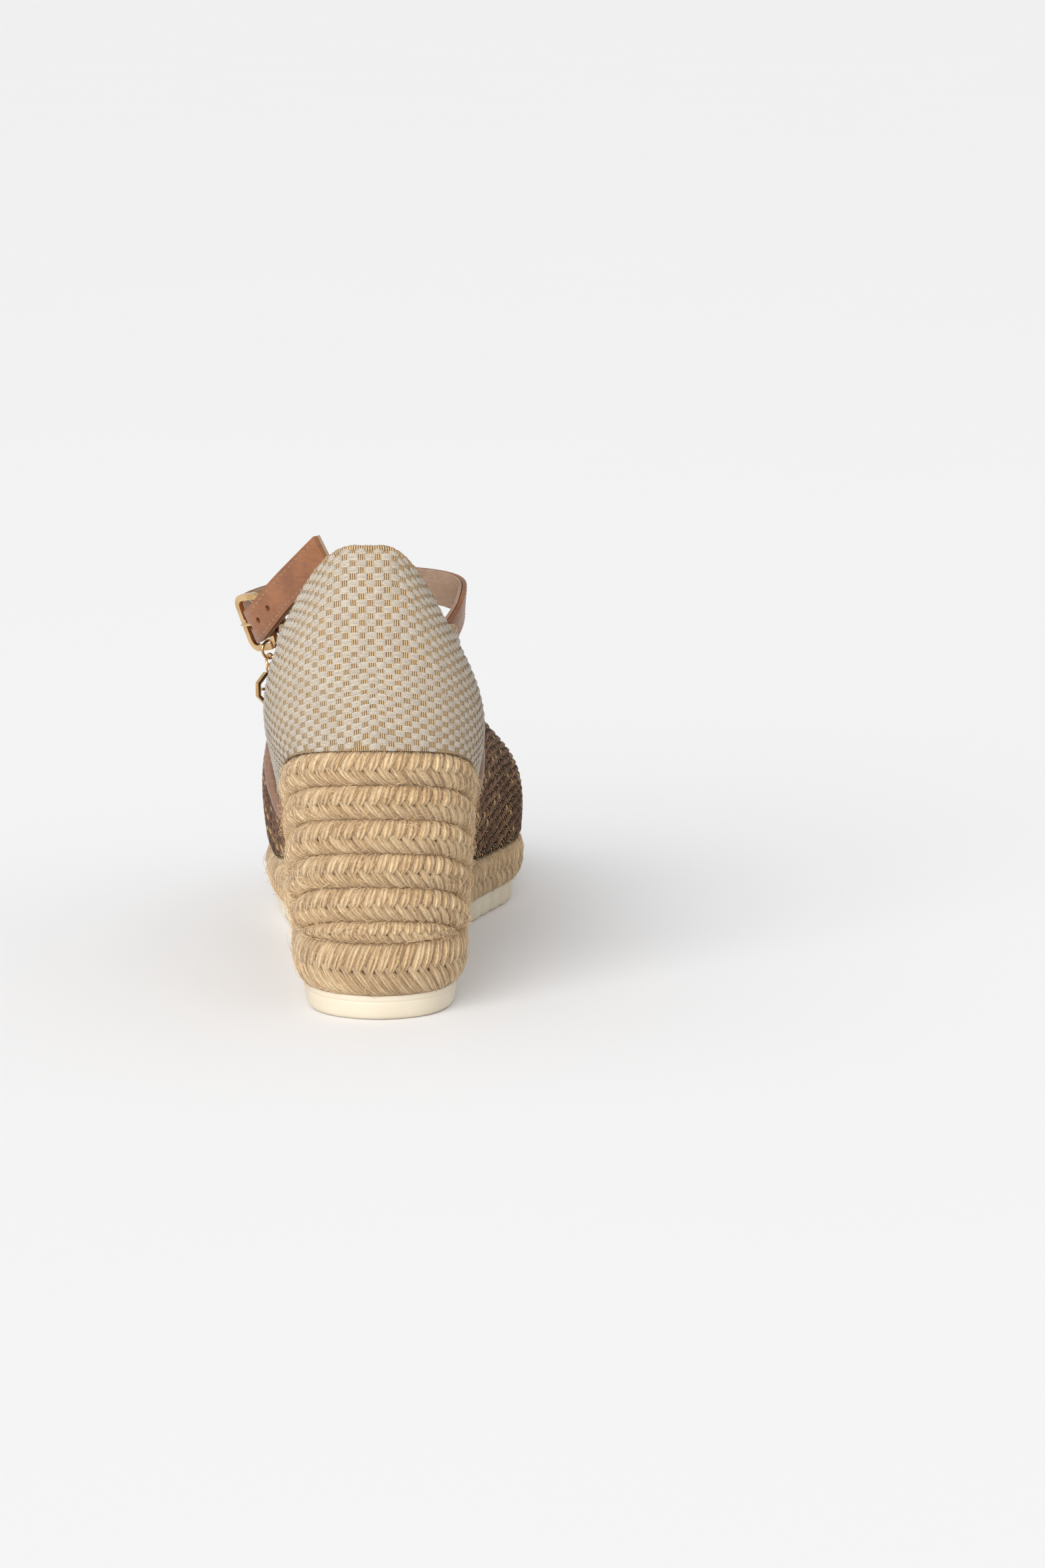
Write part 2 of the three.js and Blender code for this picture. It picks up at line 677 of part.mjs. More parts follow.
// ---- Assembly ----
const finishes = {
  rubber: { color: 0xf1e7d2, roughness: 0.55, metalness: 0 },
  core: { color: 0xa98457, roughness: 0.9, metalness: 0 },
  jute: { color: 0xc7a676, roughness: 0.95, metalness: 0 },
  board: { color: 0xb9a58a, roughness: 0.9, metalness: 0 },
  foam: { color: 0xe9e2d4, roughness: 0.95, metalness: 0 },
  sock: { color: 0xb58a68, roughness: 0.6, metalness: 0 },
  canvas: { color: 0xd9c7a8, roughness: 0.95, metalness: 0 },
  lining: { color: 0xe6dccb, roughness: 0.9, metalness: 0 },
  woven: { color: 0x7d5f49, roughness: 0.6, metalness: 0.1 },
  leather: { color: 0x9c6f52, roughness: 0.45, metalness: 0 },
  metal: { color: 0xe0b98c, roughness: 0.2, metalness: 1 },
};

const sandal = new THREE.Group();

function add(name, geometry, finish) {
  const mesh = new THREE.Mesh(geometry, new THREE.MeshStandardMaterial(finishes[finish]));
  mesh.name = name;
  sandal.add(mesh);
}

const boardBase = clearance;
const foamBase = boardBase + boardThickness + clearance;
const sockBase = foamBase + foamThickness + clearance;

add("outsole", outsole(), "rubber");
add("wedge_core", wedgeCore(), "core");
add("jute_base_row", sweep(ring((t) => braidSection(t, baseHeights)), true), "jute");
for (let row = 0; row < rowCount; row += 1) add(`jute_row_${row + 1}`, juteRow(row), "jute");
add("insole_board", footbedLayer(boardBase, boardThickness), "board");
add("footbed_foam", footbedLayer(foamBase, foamThickness), "foam");
add("insole_sock", footbedLayer(sockBase, sockThickness), "sock");
add("heel_canvas", quarterShell(1, 1, canvasDepth), "canvas");
add("heel_stiffener", quarterShell(stiffenerReach, stiffenerRise, stiffenerDepth), "board");
add("heel_lining", quarterShell(1, 1, heelLiningDepth), "lining");
add("vamp_woven", vampShell(vampDepth), "woven");
add("vamp_lining", vampShell(vampLiningDepth), "lining");
add("throat_binding", edgeBinding(0, 0.96), "leather");
add("toe_binding", edgeBinding(1, 0.74), "leather");
add("ankle_strap", strapLayer(...strapLayers.outer), "leather");
add("strap_lining", strapLayer(...strapLayers.lining), "leather");
add("buckle_tab", buckleTabSolid(), "leather");
add("buckle_frame", buckleFrame(), "metal");
add("buckle_prong", buckleProng(), "metal");
add("jump_ring", wireRing(jumpRingRadius, jumpRingWire, jumpCentre, ringAcross), "metal");
add("link_ring", wireRing(linkRingRadius, linkRingWire, linkCentre, ringAlong), "metal");
add("charm", charm(), "metal");

// The origin is the middle of the whole object's footprint, on the floor.
sandal.updateMatrixWorld(true);
const middle = new THREE.Box3().setFromObject(sandal, true).getCenter(new THREE.Vector3());
sandal.position.set(-middle.x, -middle.y, 0);
sandal.updateMatrixWorld(true);

export default sandal;
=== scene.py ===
import math
import random
import bpy
import numpy as np
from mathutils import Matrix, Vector


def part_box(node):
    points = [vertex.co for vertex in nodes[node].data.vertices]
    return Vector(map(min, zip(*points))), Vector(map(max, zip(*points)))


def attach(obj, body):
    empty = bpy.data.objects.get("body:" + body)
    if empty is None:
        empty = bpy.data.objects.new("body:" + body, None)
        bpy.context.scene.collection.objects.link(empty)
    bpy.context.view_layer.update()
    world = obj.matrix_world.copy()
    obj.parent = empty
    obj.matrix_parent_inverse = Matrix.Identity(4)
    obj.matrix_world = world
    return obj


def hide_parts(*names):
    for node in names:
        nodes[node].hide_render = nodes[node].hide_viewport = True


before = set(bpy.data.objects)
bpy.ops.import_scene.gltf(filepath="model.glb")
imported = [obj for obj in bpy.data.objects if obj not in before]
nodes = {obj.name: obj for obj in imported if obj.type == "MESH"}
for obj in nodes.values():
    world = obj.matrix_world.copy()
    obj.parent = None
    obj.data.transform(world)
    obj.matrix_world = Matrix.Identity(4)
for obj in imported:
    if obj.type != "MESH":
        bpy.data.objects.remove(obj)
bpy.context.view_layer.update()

random.seed(7)
print("frame loaded")

# camera, lights and floor
view = dict(place=(0.0505, -1.485, 0.386), tilt=77.54, lens=96.4, film=36)
studio = dict(sky=0.70, floor=(0.845, 0.845, 0.85), floorSize=60, floorAhead=8, lights=[
    # name, kind, place, aim, strength, then degrees across for the sun and metres across for the others
    ("sun", "SUN", (-0.7, -1.5, 0.75), (0, 0, 0), 2.55, 55),
    ("key", "AREA", (-1.6, -2.2, 1.9), (0, -0.05, 0.08), 5.0, 1.4),
    ("fill", "AREA", (1.9, -1.3, 1.4), (0, -0.05, 0.08), 2.0, 1.4)])


def setCamera():
    camera = bpy.data.objects.new("camera", bpy.data.cameras.new("camera"))
    camera.data.lens = view["lens"]
    camera.data.sensor_width = view["film"]
    camera.location = view["place"]
    camera.rotation_euler = (math.radians(view["tilt"]), 0, 0)
    bpy.context.scene.collection.objects.link(camera)
    bpy.context.scene.camera = camera


def addLight(name, kind, place, aim, energy, size):
    lamp = bpy.data.objects.new(name, bpy.data.lights.new(name, kind))
    lamp.location = place
    lamp.rotation_euler = (Vector(aim) - Vector(place)).to_track_quat("-Z", "Y").to_euler()
    lamp.data.energy = energy
    if kind == "SUN":
        lamp.data.angle = math.radians(size)
    else:
        lamp.data.size = size
    bpy.context.scene.collection.objects.link(lamp)


def setLights():
    world = bpy.data.worlds.new("studio")
    world.use_nodes = True
    world.node_tree.nodes["Background"].inputs[0].default_value = (1, 1, 1, 1)
    world.node_tree.nodes["Background"].inputs[1].default_value = studio["sky"]
    bpy.context.scene.world = world
    bpy.context.scene.view_settings.view_transform = "Standard"
    for light in studio["lights"]:
        addLight(*light)


# materials
class Value:  # a socket that can be used in sums
    def __init__(self, finish, socket):
        self.finish, self.socket = finish, socket

    def sum(self, how, first, second):
        return self.finish.node("Math", {"operation": how}, {0: first, 1: second})

    def __add__(self, other): return self.sum("ADD", self, other)
    def __radd__(self, other): return self.sum("ADD", other, self)
    def __sub__(self, other): return self.sum("SUBTRACT", self, other)
    def __rsub__(self, other): return self.sum("SUBTRACT", other, self)
    def __mul__(self, other): return self.sum("MULTIPLY", self, other)
    def __rmul__(self, other): return self.sum("MULTIPLY", other, self)


class Finish:  # one material and the nodes in it
    def __init__(self, name, **fixed):
        self.material = bpy.data.materials.new(name)
        self.material.use_nodes = True
        self.tree = self.material.node_tree
        self.shader = self.tree.nodes["Principled BSDF"]
        for socket, value in fixed.items():
            self.shader.inputs[socket.replace("_", " ")].default_value = value

    def node(self, kind, settings=None, values=None, out=0):
        made = self.tree.nodes.new("ShaderNode" + kind)
        for key, value in (settings or {}).items():
            if key == "stops":
                ramp = made.color_ramp
                while len(ramp.elements) < len(value):
                    ramp.elements.new(1)
                for element, (place, colour) in zip(ramp.elements, value):
                    element.position, element.color = place, (*colour, 1)
            else:
                setattr(made, key, value)
        for key, value in (values or {}).items():
            if isinstance(value, Value):
                self.tree.links.new(value.socket, made.inputs[key])
            else:
                made.inputs[key].default_value = value
        return Value(self, made.outputs[out])

    def uv(self, part):  # part 0 runs along, 1 across
        return self.node("SeparateXYZ", None, {0: self.node("UVMap")}, part)

    def tone(self):
        return self.node("Attribute", {"attribute_name": "tone"}, None, "Fac")

    def noise(self, along, across, detail=3.0, shift=0.0):
        place = self.node("CombineXYZ", None, {0: along, 1: across, 2: shift})
        return self.node("TexNoise", None, {"Vector": place, "Scale": 1.0, "Detail": detail})

    def grain(self, scale, detail=4.0, stretch=(1, 1, 1)):
        place = self.node("TexCoord", None, None, "Object")
        place = self.node("Mapping", None, {"Vector": place, "Scale": stretch})
        return self.node("TexNoise", None, {"Vector": place, "Scale": scale, "Detail": detail})

    def cells(self, scale):
        place = self.node("TexCoord", None, None, "Object")
        return self.node("TexVoronoi", {"feature": "SMOOTH_F1"}, {"Vector": place, "Scale": scale})

    def wave(self, value, turns):  # 0 to 1 and back, turns times for each unit
        return self.sine(value * (turns * 2 * math.pi)) * 0.5 + 0.5

    def sine(self, value):
        return self.node("Math", {"operation": "SINE"}, {0: value})

    def step(self, value, low, high):
        return self.node("MapRange", {"interpolation_type": "SMOOTHSTEP"}, {0: value, 1: low, 2: high})

    def ramp(self, value, stops):
        return self.node("ValToRGB", {"stops": stops}, {0: value})

    def mixed(self, share, first, second, blend="MIX"):
        full = lambda colour: colour if isinstance(colour, Value) else (*colour, 1)
        settings = {"data_type": "RGBA", "blend_type": blend}
        return self.node("Mix", settings, {0: share, 6: full(first), 7: full(second)}, 2)

    def bump(self, height, distance, strength=1.0):
        return self.node("Bump", None, {"Height": height, "Distance": distance, "Strength": strength})

    def feed(self, **links):
        for socket, value in links.items():
            self.tree.links.new(value.socket, self.shader.inputs[socket.replace("_", " ")])
        return self.material


juteLook = dict(dark=(0.23, 0.12, 0.045), middle=(0.64, 0.425, 0.22), pale=(0.93, 0.73, 0.45))


def juteStops(dark, middle, pale):
    return [(dark, juteLook["dark"]), (middle, juteLook["middle"]), (pale, juteLook["pale"])]


def juteFinish():
    f = Finish("jute", Roughness=0.85, Sheen_Weight=0.25, Specular_IOR_Level=0.25)
    along, across, tone = f.uv(0), f.uv(1), f.tone()
    slant = across + along * 0.25  # the yarns in a strand turn slowly round each other
    fibres = f.noise(along * 2.6, slant * 30.0, 5.0, tone * 9.0)
    yarns = f.wave(slant + fibres * 0.12, 3.0)
    fuzz = f.grain(1100.0, 4.0)
    shade = fibres * 0.85 + yarns * 0.12 + tone * 0.12 + fuzz * 0.3 - 0.2
    colour = f.ramp(shade, juteStops(0.26, 0.47, 0.72))
    # painted shade: the strand darkens towards the dark jute colour along both edges, where it tucks under
    # its neighbours
    clear_of_painted_shade = f.step(across, 0.0, 0.16) * f.step(1.0 - across, 0.0, 0.16)
    colour = f.mixed(0.75 * (1.0 - clear_of_painted_shade), colour, juteLook["dark"])
    height = fibres * 0.7 + yarns * 0.4 + fuzz * 0.35
    return f.feed(Base_Color=colour, Normal=f.bump(height, 0.0010, 1.0))


def juteCoreFinish():
    f = Finish("jute_shadow", Roughness=0.95, Specular_IOR_Level=0.1)
    speck = f.grain(700.0, 4.0)
    colour = f.ramp(speck, [(0.35, (0.10, 0.05, 0.02)), (0.7, (0.36, 0.22, 0.10))])
    return f.feed(Base_Color=colour, Normal=f.bump(speck, 0.0005))


def canvasThreadFinish():
    f = Finish("canvas_floats", Roughness=0.9, Sheen_Weight=0.3, Specular_IOR_Level=0.2)
    along, across, tone = f.uv(0), f.uv(1), f.tone()
    threads = f.wave(across + along * 0.04, 5.0)
    fluff = f.noise(along * 5.0, across * 24.0, 3.0, tone * 7.0)
    shade = threads * 0.6 + fluff * 0.5 + tone * 0.18
    colour = f.ramp(shade, [(0.18, (0.42, 0.28, 0.17)), (0.42, (0.88, 0.70, 0.51)),
                            (0.78, (0.96, 0.88, 0.74))])
    # painted shade: each float darkens towards tan at both ends, where it dips into the weave
    clear_of_painted_shade = f.step(along, 0.0, 0.12) * f.step(1.0 - along, 0.0, 0.12)
    colour = f.mixed(0.4 * (1.0 - clear_of_painted_shade), colour, (0.48, 0.33, 0.19))
    return f.feed(Base_Color=colour, Normal=f.bump(threads * 0.8 + fluff * 0.4, 0.0007))


def canvasGroundFinish():  # uv in millimetres: the tan threads run up the cloth
    f = Finish("canvas_ground", Roughness=0.92, Sheen_Weight=0.2, Specular_IOR_Level=0.2)
    along, up = f.uv(0), f.uv(1)
    threads = f.wave(along, 1 / 0.72)
    fluff = f.noise(along * 3.2, up * 1.1, 4.0)
    shade = threads * 0.6 + fluff * 0.5
    colour = f.ramp(shade, [(0.25, (0.16, 0.08, 0.03)), (0.5, (0.68, 0.43, 0.205)),
                            (0.9, (0.92, 0.68, 0.38))])
    return f.feed(Base_Color=colour, Normal=f.bump(threads * 0.8 + fluff * 0.3, 0.0008))


def leatherFinish(name, dark, pale, roughness=0.42, gleam=0.5, grainSize=2600.0, depth=0.00012):
    f = Finish(name, Specular_IOR_Level=gleam)
    pores = f.cells(grainSize)
    mottle = f.grain(55.0, 5.0)
    scuff = f.grain(320.0, 6.0, (1, 1, 3))
    shade = mottle * 0.7 + scuff * 0.35
    colour = f.mixed(f.step(shade, 0.32, 0.75), dark, pale)
    pits = f.ramp(pores, [(0.0, (0.6, 0.6, 0.6)), (0.5, (1, 1, 1))])
    colour = f.mixed(0.35, colour, pits, "MULTIPLY")
    gloss = scuff * 0.25 + (roughness - 0.12)
    return f.feed(Base_Color=colour, Roughness=gloss, Normal=f.bump(pores * 0.6 + scuff * 0.4, depth))


def vampGroundFinish():  # uv in millimetres
    f = Finish("vamp_mesh", Specular_IOR_Level=0.1)
    along, across = f.uv(0), f.uv(1)
    one = f.wave(along + across * 0.6, 1 / 1.3)
    two = f.wave(along - across * 0.6, 1 / 1.3)
    net = f.node("Math", {"operation": "MAXIMUM"}, {0: one, 1: two})
    glint = f.step(f.noise(along * 1.7, across * 1.7, 2.0), 0.52, 0.6) * f.step(net, 0.78, 0.95)
    colour = f.mixed(f.step(net, 0.45, 0.95), (0.007, 0.0035, 0.0015), (0.045, 0.022, 0.01))
    colour = f.mixed(glint, colour, (0.85, 0.58, 0.25))
    return f.feed(Base_Color=colour, Metallic=glint * 0.9, Roughness=0.75 - glint * 0.4,
                  Normal=f.bump(net, 0.0005))


def liningFinish():  # uv in millimetres: brown and white stripes run up the cloth
    f = Finish("striped_lining", Roughness=0.9, Sheen_Weight=0.15, Specular_IOR_Level=0.2)
    along, up = f.uv(0), f.uv(1)
    stripe = f.step(f.wave(along, 1 / 3.4), 0.42, 0.58)
    twill = f.wave(along + up, 1 / 0.5)
    fluff = f.noise(along * 2.5, up * 2.5, 4.0)
    colour = f.mixed(stripe, (0.80, 0.74, 0.66), (0.17, 0.09, 0.05))
    cloth = f.ramp(twill * 0.5 + fluff * 0.6, [(0.1, (0.55, 0.55, 0.55)), (0.7, (1, 1, 1))])
    colour = f.mixed(0.5, colour, cloth, "MULTIPLY")
    return f.feed(Base_Color=colour, Normal=f.bump(twill * 0.5 + fluff * 0.5, 0.0003))


def rubberFinish():
    f = Finish("cream_rubber", Specular_IOR_Level=0.4, Subsurface_Weight=0.04)
    speck = f.grain(420.0, 5.0)
    cloud = f.grain(28.0, 3.0)
    colour = f.mixed(f.step(cloud, 0.35, 0.7), (0.66, 0.57, 0.44), (0.72, 0.64, 0.51))
    return f.feed(Base_Color=colour, Roughness=speck * 0.2 + 0.42, Normal=f.bump(speck, 0.00012))


def metalFinish():
    f = Finish("pale_gilt", Metallic=1.0, Specular_IOR_Level=0.5)
    smear = f.grain(160.0, 4.0)
    fine = f.grain(2500.0, 2.0)
    colour = f.mixed(f.step(smear, 0.35, 0.7), (0.60, 0.37, 0.165), (0.80, 0.56, 0.30))
    return f.feed(Base_Color=colour, Roughness=smear * 0.12 + 0.08, Normal=f.bump(fine, 0.00001))


def boardFinish(name, dark, pale, size):
    f = Finish(name, Roughness=0.9, Specular_IOR_Level=0.2)
    speck = f.grain(size, 5.0)
    return f.feed(Base_Color=f.mixed(f.step(speck, 0.35, 0.65), dark, pale), Normal=f.bump(speck, 0.0004))


def threadFinish():
    f = Finish("stitch_thread", Roughness=0.6, Sheen_Weight=0.2)
    twist = f.wave(f.uv(0) + f.uv(1), 4.0)
    colour = f.mixed(twist, (0.50, 0.30, 0.17), (0.85, 0.66, 0.45))
    return f.feed(Base_Color=colour, Normal=f.bump(twist, 0.0002))


def fibreFinish():
    f = Finish("jute_fibre", Roughness=0.8, Specular_IOR_Level=0.3)
    return f.feed(Base_Color=f.ramp(f.tone(), juteStops(0.0, 0.3, 1.0)))


def lurexFinish():
    f = Finish("lurex_cord", Specular_IOR_Level=0.5)
    tone = f.tone()
    twist = f.wave(f.uv(0) + f.uv(1), 3.0)
    gold = f.step(tone, 0.72, 0.76)
    brown = f.mixed(twist, (0.03, 0.015, 0.008), (0.15, 0.08, 0.045))
    return f.feed(Base_Color=f.mixed(gold, brown, (0.80, 0.56, 0.26)), Metallic=gold * 0.85,
                  Roughness=0.75 - gold * 0.4, Normal=f.bump(twist, 0.0003))


def floorFinish():
    f = Finish("studio_floor", Roughness=0.9, Specular_IOR_Level=0.1)
    faint = f.grain(3.0, 2.0)
    pale = studio["floor"]
    return f.feed(Base_Color=f.mixed(faint, pale, tuple(c * 1.01 for c in pale)))


looks = dict(
    jute=juteFinish(), juteShadow=juteCoreFinish(), float=canvasThreadFinish(), ground=canvasGroundFinish(),
    strap=leatherFinish("strap_leather", (0.16, 0.054, 0.018), (0.31, 0.12, 0.045), 0.38),
    strapBack=leatherFinish("strap_lining_leather", (0.27, 0.165, 0.105), (0.42, 0.28, 0.19), 0.6),
    binding=leatherFinish("binding_leather", (0.18, 0.093, 0.057), (0.30, 0.175, 0.115), 0.36),
    strip=leatherFinish("woven_leather", (0.085, 0.038, 0.019), (0.25, 0.13, 0.075), 0.5, 0.15),
    sock=leatherFinish("sock_leather", (0.36, 0.21, 0.12), (0.52, 0.34, 0.22), 0.55),
    mesh=vampGroundFinish(), lining=liningFinish(), rubber=rubberFinish(), metal=metalFinish(),
    cork=boardFinish("cork", (0.20, 0.10, 0.045), (0.55, 0.36, 0.20), 420.0),
    board=boardFinish("fibre_board", (0.30, 0.22, 0.14), (0.50, 0.40, 0.28), 900.0),
    foam=boardFinish("foam", (0.62, 0.56, 0.45), (0.80, 0.75, 0.66), 1500.0),
    thread=threadFinish(), fibre=fibreFinish(), lurex=lurexFinish(), floor=floorFinish())
print("materials ready")

# shape of the sole, in millimetres from the heel's back
sole = dict(length=240, heel=33, waistIn=27.5, waistOut=35, ballIn=48.4, ballOut=47, toeShift=5,
            heelHeight=95, platform=24.5, seatSlope=0.22, rampEnd=150, toeSpring=4, toeReach=50,
            taper=0.061, middle=(1.452, -119.202))


def mix(a, b, share):
    return a + (b - a) * share


def smooth(value, low, high):
    t = np.clip((value - low) / (high - low), 0, 1)
    return t * t * (3 - 2 * t)


def unit(vectors):
    return vectors / np.maximum(np.linalg.norm(vectors, axis=-1, keepdims=True), 1e-9)


def inPlace(points):  # millimetres from the heel's back to metres in the frame
    return (np.asarray(points, float) + (*sole["middle"], 0)) * 0.001


def spline(points, closed=False, centripetal=False, perSpan=40):
    # smooth curve through the points: its shares from 0 to 1, and its places
    p = np.array(points, float)
    ends = (p[-1:], p[:2]) if closed else (2 * p[:1] - p[1:2], 2 * p[-1:] - p[-2:-1])
    p = np.concatenate([ends[0], p, ends[1]])
    w = np.linspace(0, 1, perSpan, endpoint=False)[:, None]
    places = []
    for k in range(len(p) - 3):
        a, b, c, d = p[k:k + 4]
        if centripetal:
            t0, t1, t2 = [max(np.linalg.norm(y - x) ** 0.5, 1e-4) for x, y in ((a, b), (b, c), (c, d))]
            start = ((b - a) / t0 - (c - a) / (t0 + t1) + (c - b) / t1) * t1
            end = ((c - b) / t1 - (d - b) / (t1 + t2) + (d - c) / t2) * t1
        else:
            start, end = (c - a) / 2, (d - b) / 2
        places.append(b + start * w + (3 * (c - b) - 2 * start - end) * w ** 2
                      + (2 * (b - c) + start + end) * w ** 3)
    places = np.concatenate(places + [p[-2:-1]])
    return np.linspace(0, 1, len(places)), places


def along(curve, share):
    return np.stack([np.interp(share, curve[0], curve[1][:, k]) for k in range(curve[1].shape[1])], -1)


def runLength(places):  # distance along a line of points, at each of them
    return np.concatenate([[0], np.cumsum(np.linalg.norm(np.diff(places, axis=0), axis=1))])


def soleOutline():
    s = sole
    waist = lambda side, share: mix(s["waist" + side], s["ball" + side], share)
    stations = [
        (0.021, 0.55 * s["heel"], 0.55 * s["heel"]), (0.067, 0.88 * s["heel"], 0.88 * s["heel"]),
        (0.133, s["heel"], s["heel"]),
        (0.25, mix(s["heel"], s["waistIn"], 0.3), mix(s["heel"], s["waistOut"], 0.3)),
        (0.4, s["waistIn"], s["waistOut"]), (0.52, waist("In", 0.1), waist("Out", 0.3)),
        (0.625, waist("In", 0.52), waist("Out", 0.78)), (0.72, waist("In", 0.97), s["ballOut"]),
        (0.8, s["ballIn"], 0.94 * s["ballOut"]), (0.883, 0.91 * s["ballIn"], 0.77 * s["ballOut"]),
        (0.95, 0.72 * s["ballIn"], 0.51 * s["ballOut"]), (0.988, 0.44 * s["ballIn"], 0.2 * s["ballOut"])]
    inner = [(x, share * s["length"]) for share, x, _ in stations]
    outer = [(-x, share * s["length"]) for share, _, x in stations][::-1]
    return spline([(0, 0), *inner, (s["toeShift"], s["length"]), *outer], closed=True)


outline = soleOutline()
outlineSteps = runLength(outline[1])
outlineRound = outlineSteps[-1]


def rim(t):  # place on the outline and the way out of it; t is 0 at the heel's back, 0.5 at the toe
    ahead = unit(along(outline, np.mod(t + 0.001, 1)) - along(outline, np.mod(t - 0.001, 1)))
    return along(outline, np.mod(t, 1)), np.stack([ahead[..., 1], -ahead[..., 0]], -1)


def turnAtDistance(distance):  # distance round the outline from the heel's back, inner side first
    return np.interp(np.mod(distance, outlineRound), outlineSteps, outline[0])


def turnAt(y):  # where the inner side of the outline is y ahead of the heel's back
    t = np.linspace(0.02, 0.48, 400)
    return np.interp(y, rim(t)[0][:, 1], t)


def toeLift(y):
    return np.clip(1 - (sole["length"] - y) / sole["toeReach"], 0, 1) ** 2 * sole["toeSpring"]


def wedgeTop(y):
    s = sole
    t = np.clip(y / s["rampEnd"], 0, 1)
    rise = s["heelHeight"] - s["platform"]
    start = -s["seatSlope"] * s["rampEnd"] / rise
    slope = 2 * t ** 3 - 3 * t ** 2 + 1 + start * (t ** 3 - 2 * t ** 2 + t)
    return s["platform"] + rise * slope + toeLift(y)


def wedgeSide(t, height, depth):
    place, out = rim(t)
    inset = depth + sole["taper"] * (wedgeTop(place[..., 1]) - height)
    flat = place - out * inset[..., None]
    return np.concatenate([flat, np.broadcast_to(height, flat.shape[:-1])[..., None]], -1)


def onWedge(t, depth, height):
    place, out = rim(t)
    flat = place - out * np.broadcast_to(depth, np.shape(t))[..., None]
    return np.concatenate([flat, (wedgeTop(flat[..., 1]) + height)[..., None]], -1)


# making and finishing pieces
def clearSelection():
    if bpy.context.object and bpy.context.object.mode != "OBJECT":
        bpy.ops.object.mode_set(mode="OBJECT")
    bpy.ops.object.select_all(action="DESELECT")


def pick(piece):
    clearSelection()
    piece.select_set(True)
    bpy.context.view_layer.objects.active = piece
    return piece


def meshPiece(name, points, faces, uvs=None, tones=None):
    mesh = bpy.data.meshes.new(name)
    mesh.from_pydata([tuple(p) for p in points], [], [tuple(face) for face in faces])
    if uvs is not None:
        corners = np.zeros(len(mesh.loops), int)
        mesh.loops.foreach_get("vertex_index", corners)
        layer = mesh.uv_layers.new(name="UVMap")
        layer.data.foreach_set("uv", np.asarray(uvs, np.float32)[corners].ravel())
    if tones is not None:
        layer = mesh.attributes.new("tone", "FLOAT", "POINT")
        layer.data.foreach_set("value", np.asarray(tones, np.float32))
    piece = bpy.data.objects.new(name, mesh)
    bpy.context.scene.collection.objects.link(piece)
    return piece


def addModifier(piece, kind, **settings):
    pick(piece)
    modifier = piece.modifiers.new(kind.title(), kind)
    for key, value in settings.items():
        setattr(modifier, key, value)
    bpy.ops.object.modifier_apply(modifier=modifier.name)


def finishPiece(piece, look, body, replaced=(), smoothAngle=50):
    pick(piece)
    bpy.ops.object.shade_smooth_by_angle(angle=math.radians(smoothAngle))
    piece.data.materials.clear()
    piece.data.materials.append(looks[look])
    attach(piece, body)
    if replaced:
        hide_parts(*replaced)
    return piece


def settle(piece):  # place, turn and size go into the mesh
    pick(piece)
    bpy.ops.object.transform_apply(location=True, rotation=True, scale=True)
    return piece


def editAll(piece):
    pick(piece)
    bpy.ops.object.mode_set(mode="EDIT")
    bpy.ops.mesh.select_all(action="SELECT")


def cadCopy(name, node):  # a merged copy of a CAD node, with flat faces joined up
    piece = bpy.data.objects.new(name, nodes[node].data.copy())
    bpy.context.scene.collection.objects.link(piece)
    editAll(piece)
    bpy.ops.mesh.remove_doubles(threshold=0.000002)
    bpy.ops.mesh.dissolve_limited(angle_limit=math.radians(0.6))
    bpy.ops.object.mode_set(mode="OBJECT")
    return piece


def outward(piece):  # faces of a closed piece look outwards
    editAll(piece)
    bpy.ops.mesh.normals_make_consistent(inside=False)
    bpy.ops.object.mode_set(mode="OBJECT")


def gridFaces(columns, rows):
    starts = [i * rows + j for i in range(columns - 1) for j in range(rows - 1)]
    return [(here, here + rows, here + rows + 1, here + 1) for here in starts]


def ringFaces(rings, size, closed=False):  # between rings of points, with a cap at each open end
    faces = []
    for i in range(rings if closed else rings - 1):
        here, ahead = i * size, (i + 1) % rings * size
        for j in range(size):
            after = (j + 1) % size
            faces.append((here + j, ahead + j, ahead + after, here + after))
    if not closed:
        faces += [tuple(range(size)), tuple(range((rings - 1) * size, rings * size))[::-1]]
    return faces


def editSome(piece, chosen):  # only the vertices whose places are chosen
    bpy.ops.mesh.select_all(action="DESELECT")
    bpy.ops.object.mode_set(mode="OBJECT")
    for vertex in piece.data.vertices:
        vertex.select = chosen(vertex.co)
    bpy.ops.object.mode_set(mode="EDIT")


def pillow(columns, rows, tuck):
    # a padded strip one unit each way: its edge ring sinks and its ends draw in; made once and copied
    clearSelection()
    bpy.ops.mesh.primitive_grid_add(x_subdivisions=columns, y_subdivisions=rows, size=1)
    piece = bpy.context.object
    editAll(piece)
    bpy.ops.transform.translate(value=(0, 0, 1))
    editSome(piece, lambda place: max(abs(place.x), abs(place.y)) > 0.499)
    bpy.ops.transform.translate(value=(0, 0, -1.25))
    editSome(piece, lambda place: abs(place.x) > 0.499)
    bpy.ops.transform.resize(value=(1, 1 - tuck, 1))
    bpy.ops.object.mode_set(mode="OBJECT")
    points = np.array([vertex.co for vertex in piece.data.vertices])
    faces = [tuple(face.vertices) for face in piece.data.polygons]
    bpy.data.objects.remove(piece)
    return points, faces


def copies(name, shape, placed):
    # placed: one (points, tone) for each copy of the shape; the uv is the shape's own length and width
    points, faces = shape
    low, high = points.min(0), points.max(0)
    uv = (points[:, :2] - low[:2]) / (high - low)[:2]
    size = len(points)
    allFaces = [tuple(v + k * size for v in face) for k in range(len(placed)) for face in faces]
    where = np.concatenate([p for p, _ in placed])
    tones = np.repeat([tone for _, tone in placed], size)
    return meshPiece(name, inPlace(where), allFaces, np.tile(uv, (len(placed), 1)), tones)


print("helpers ready")

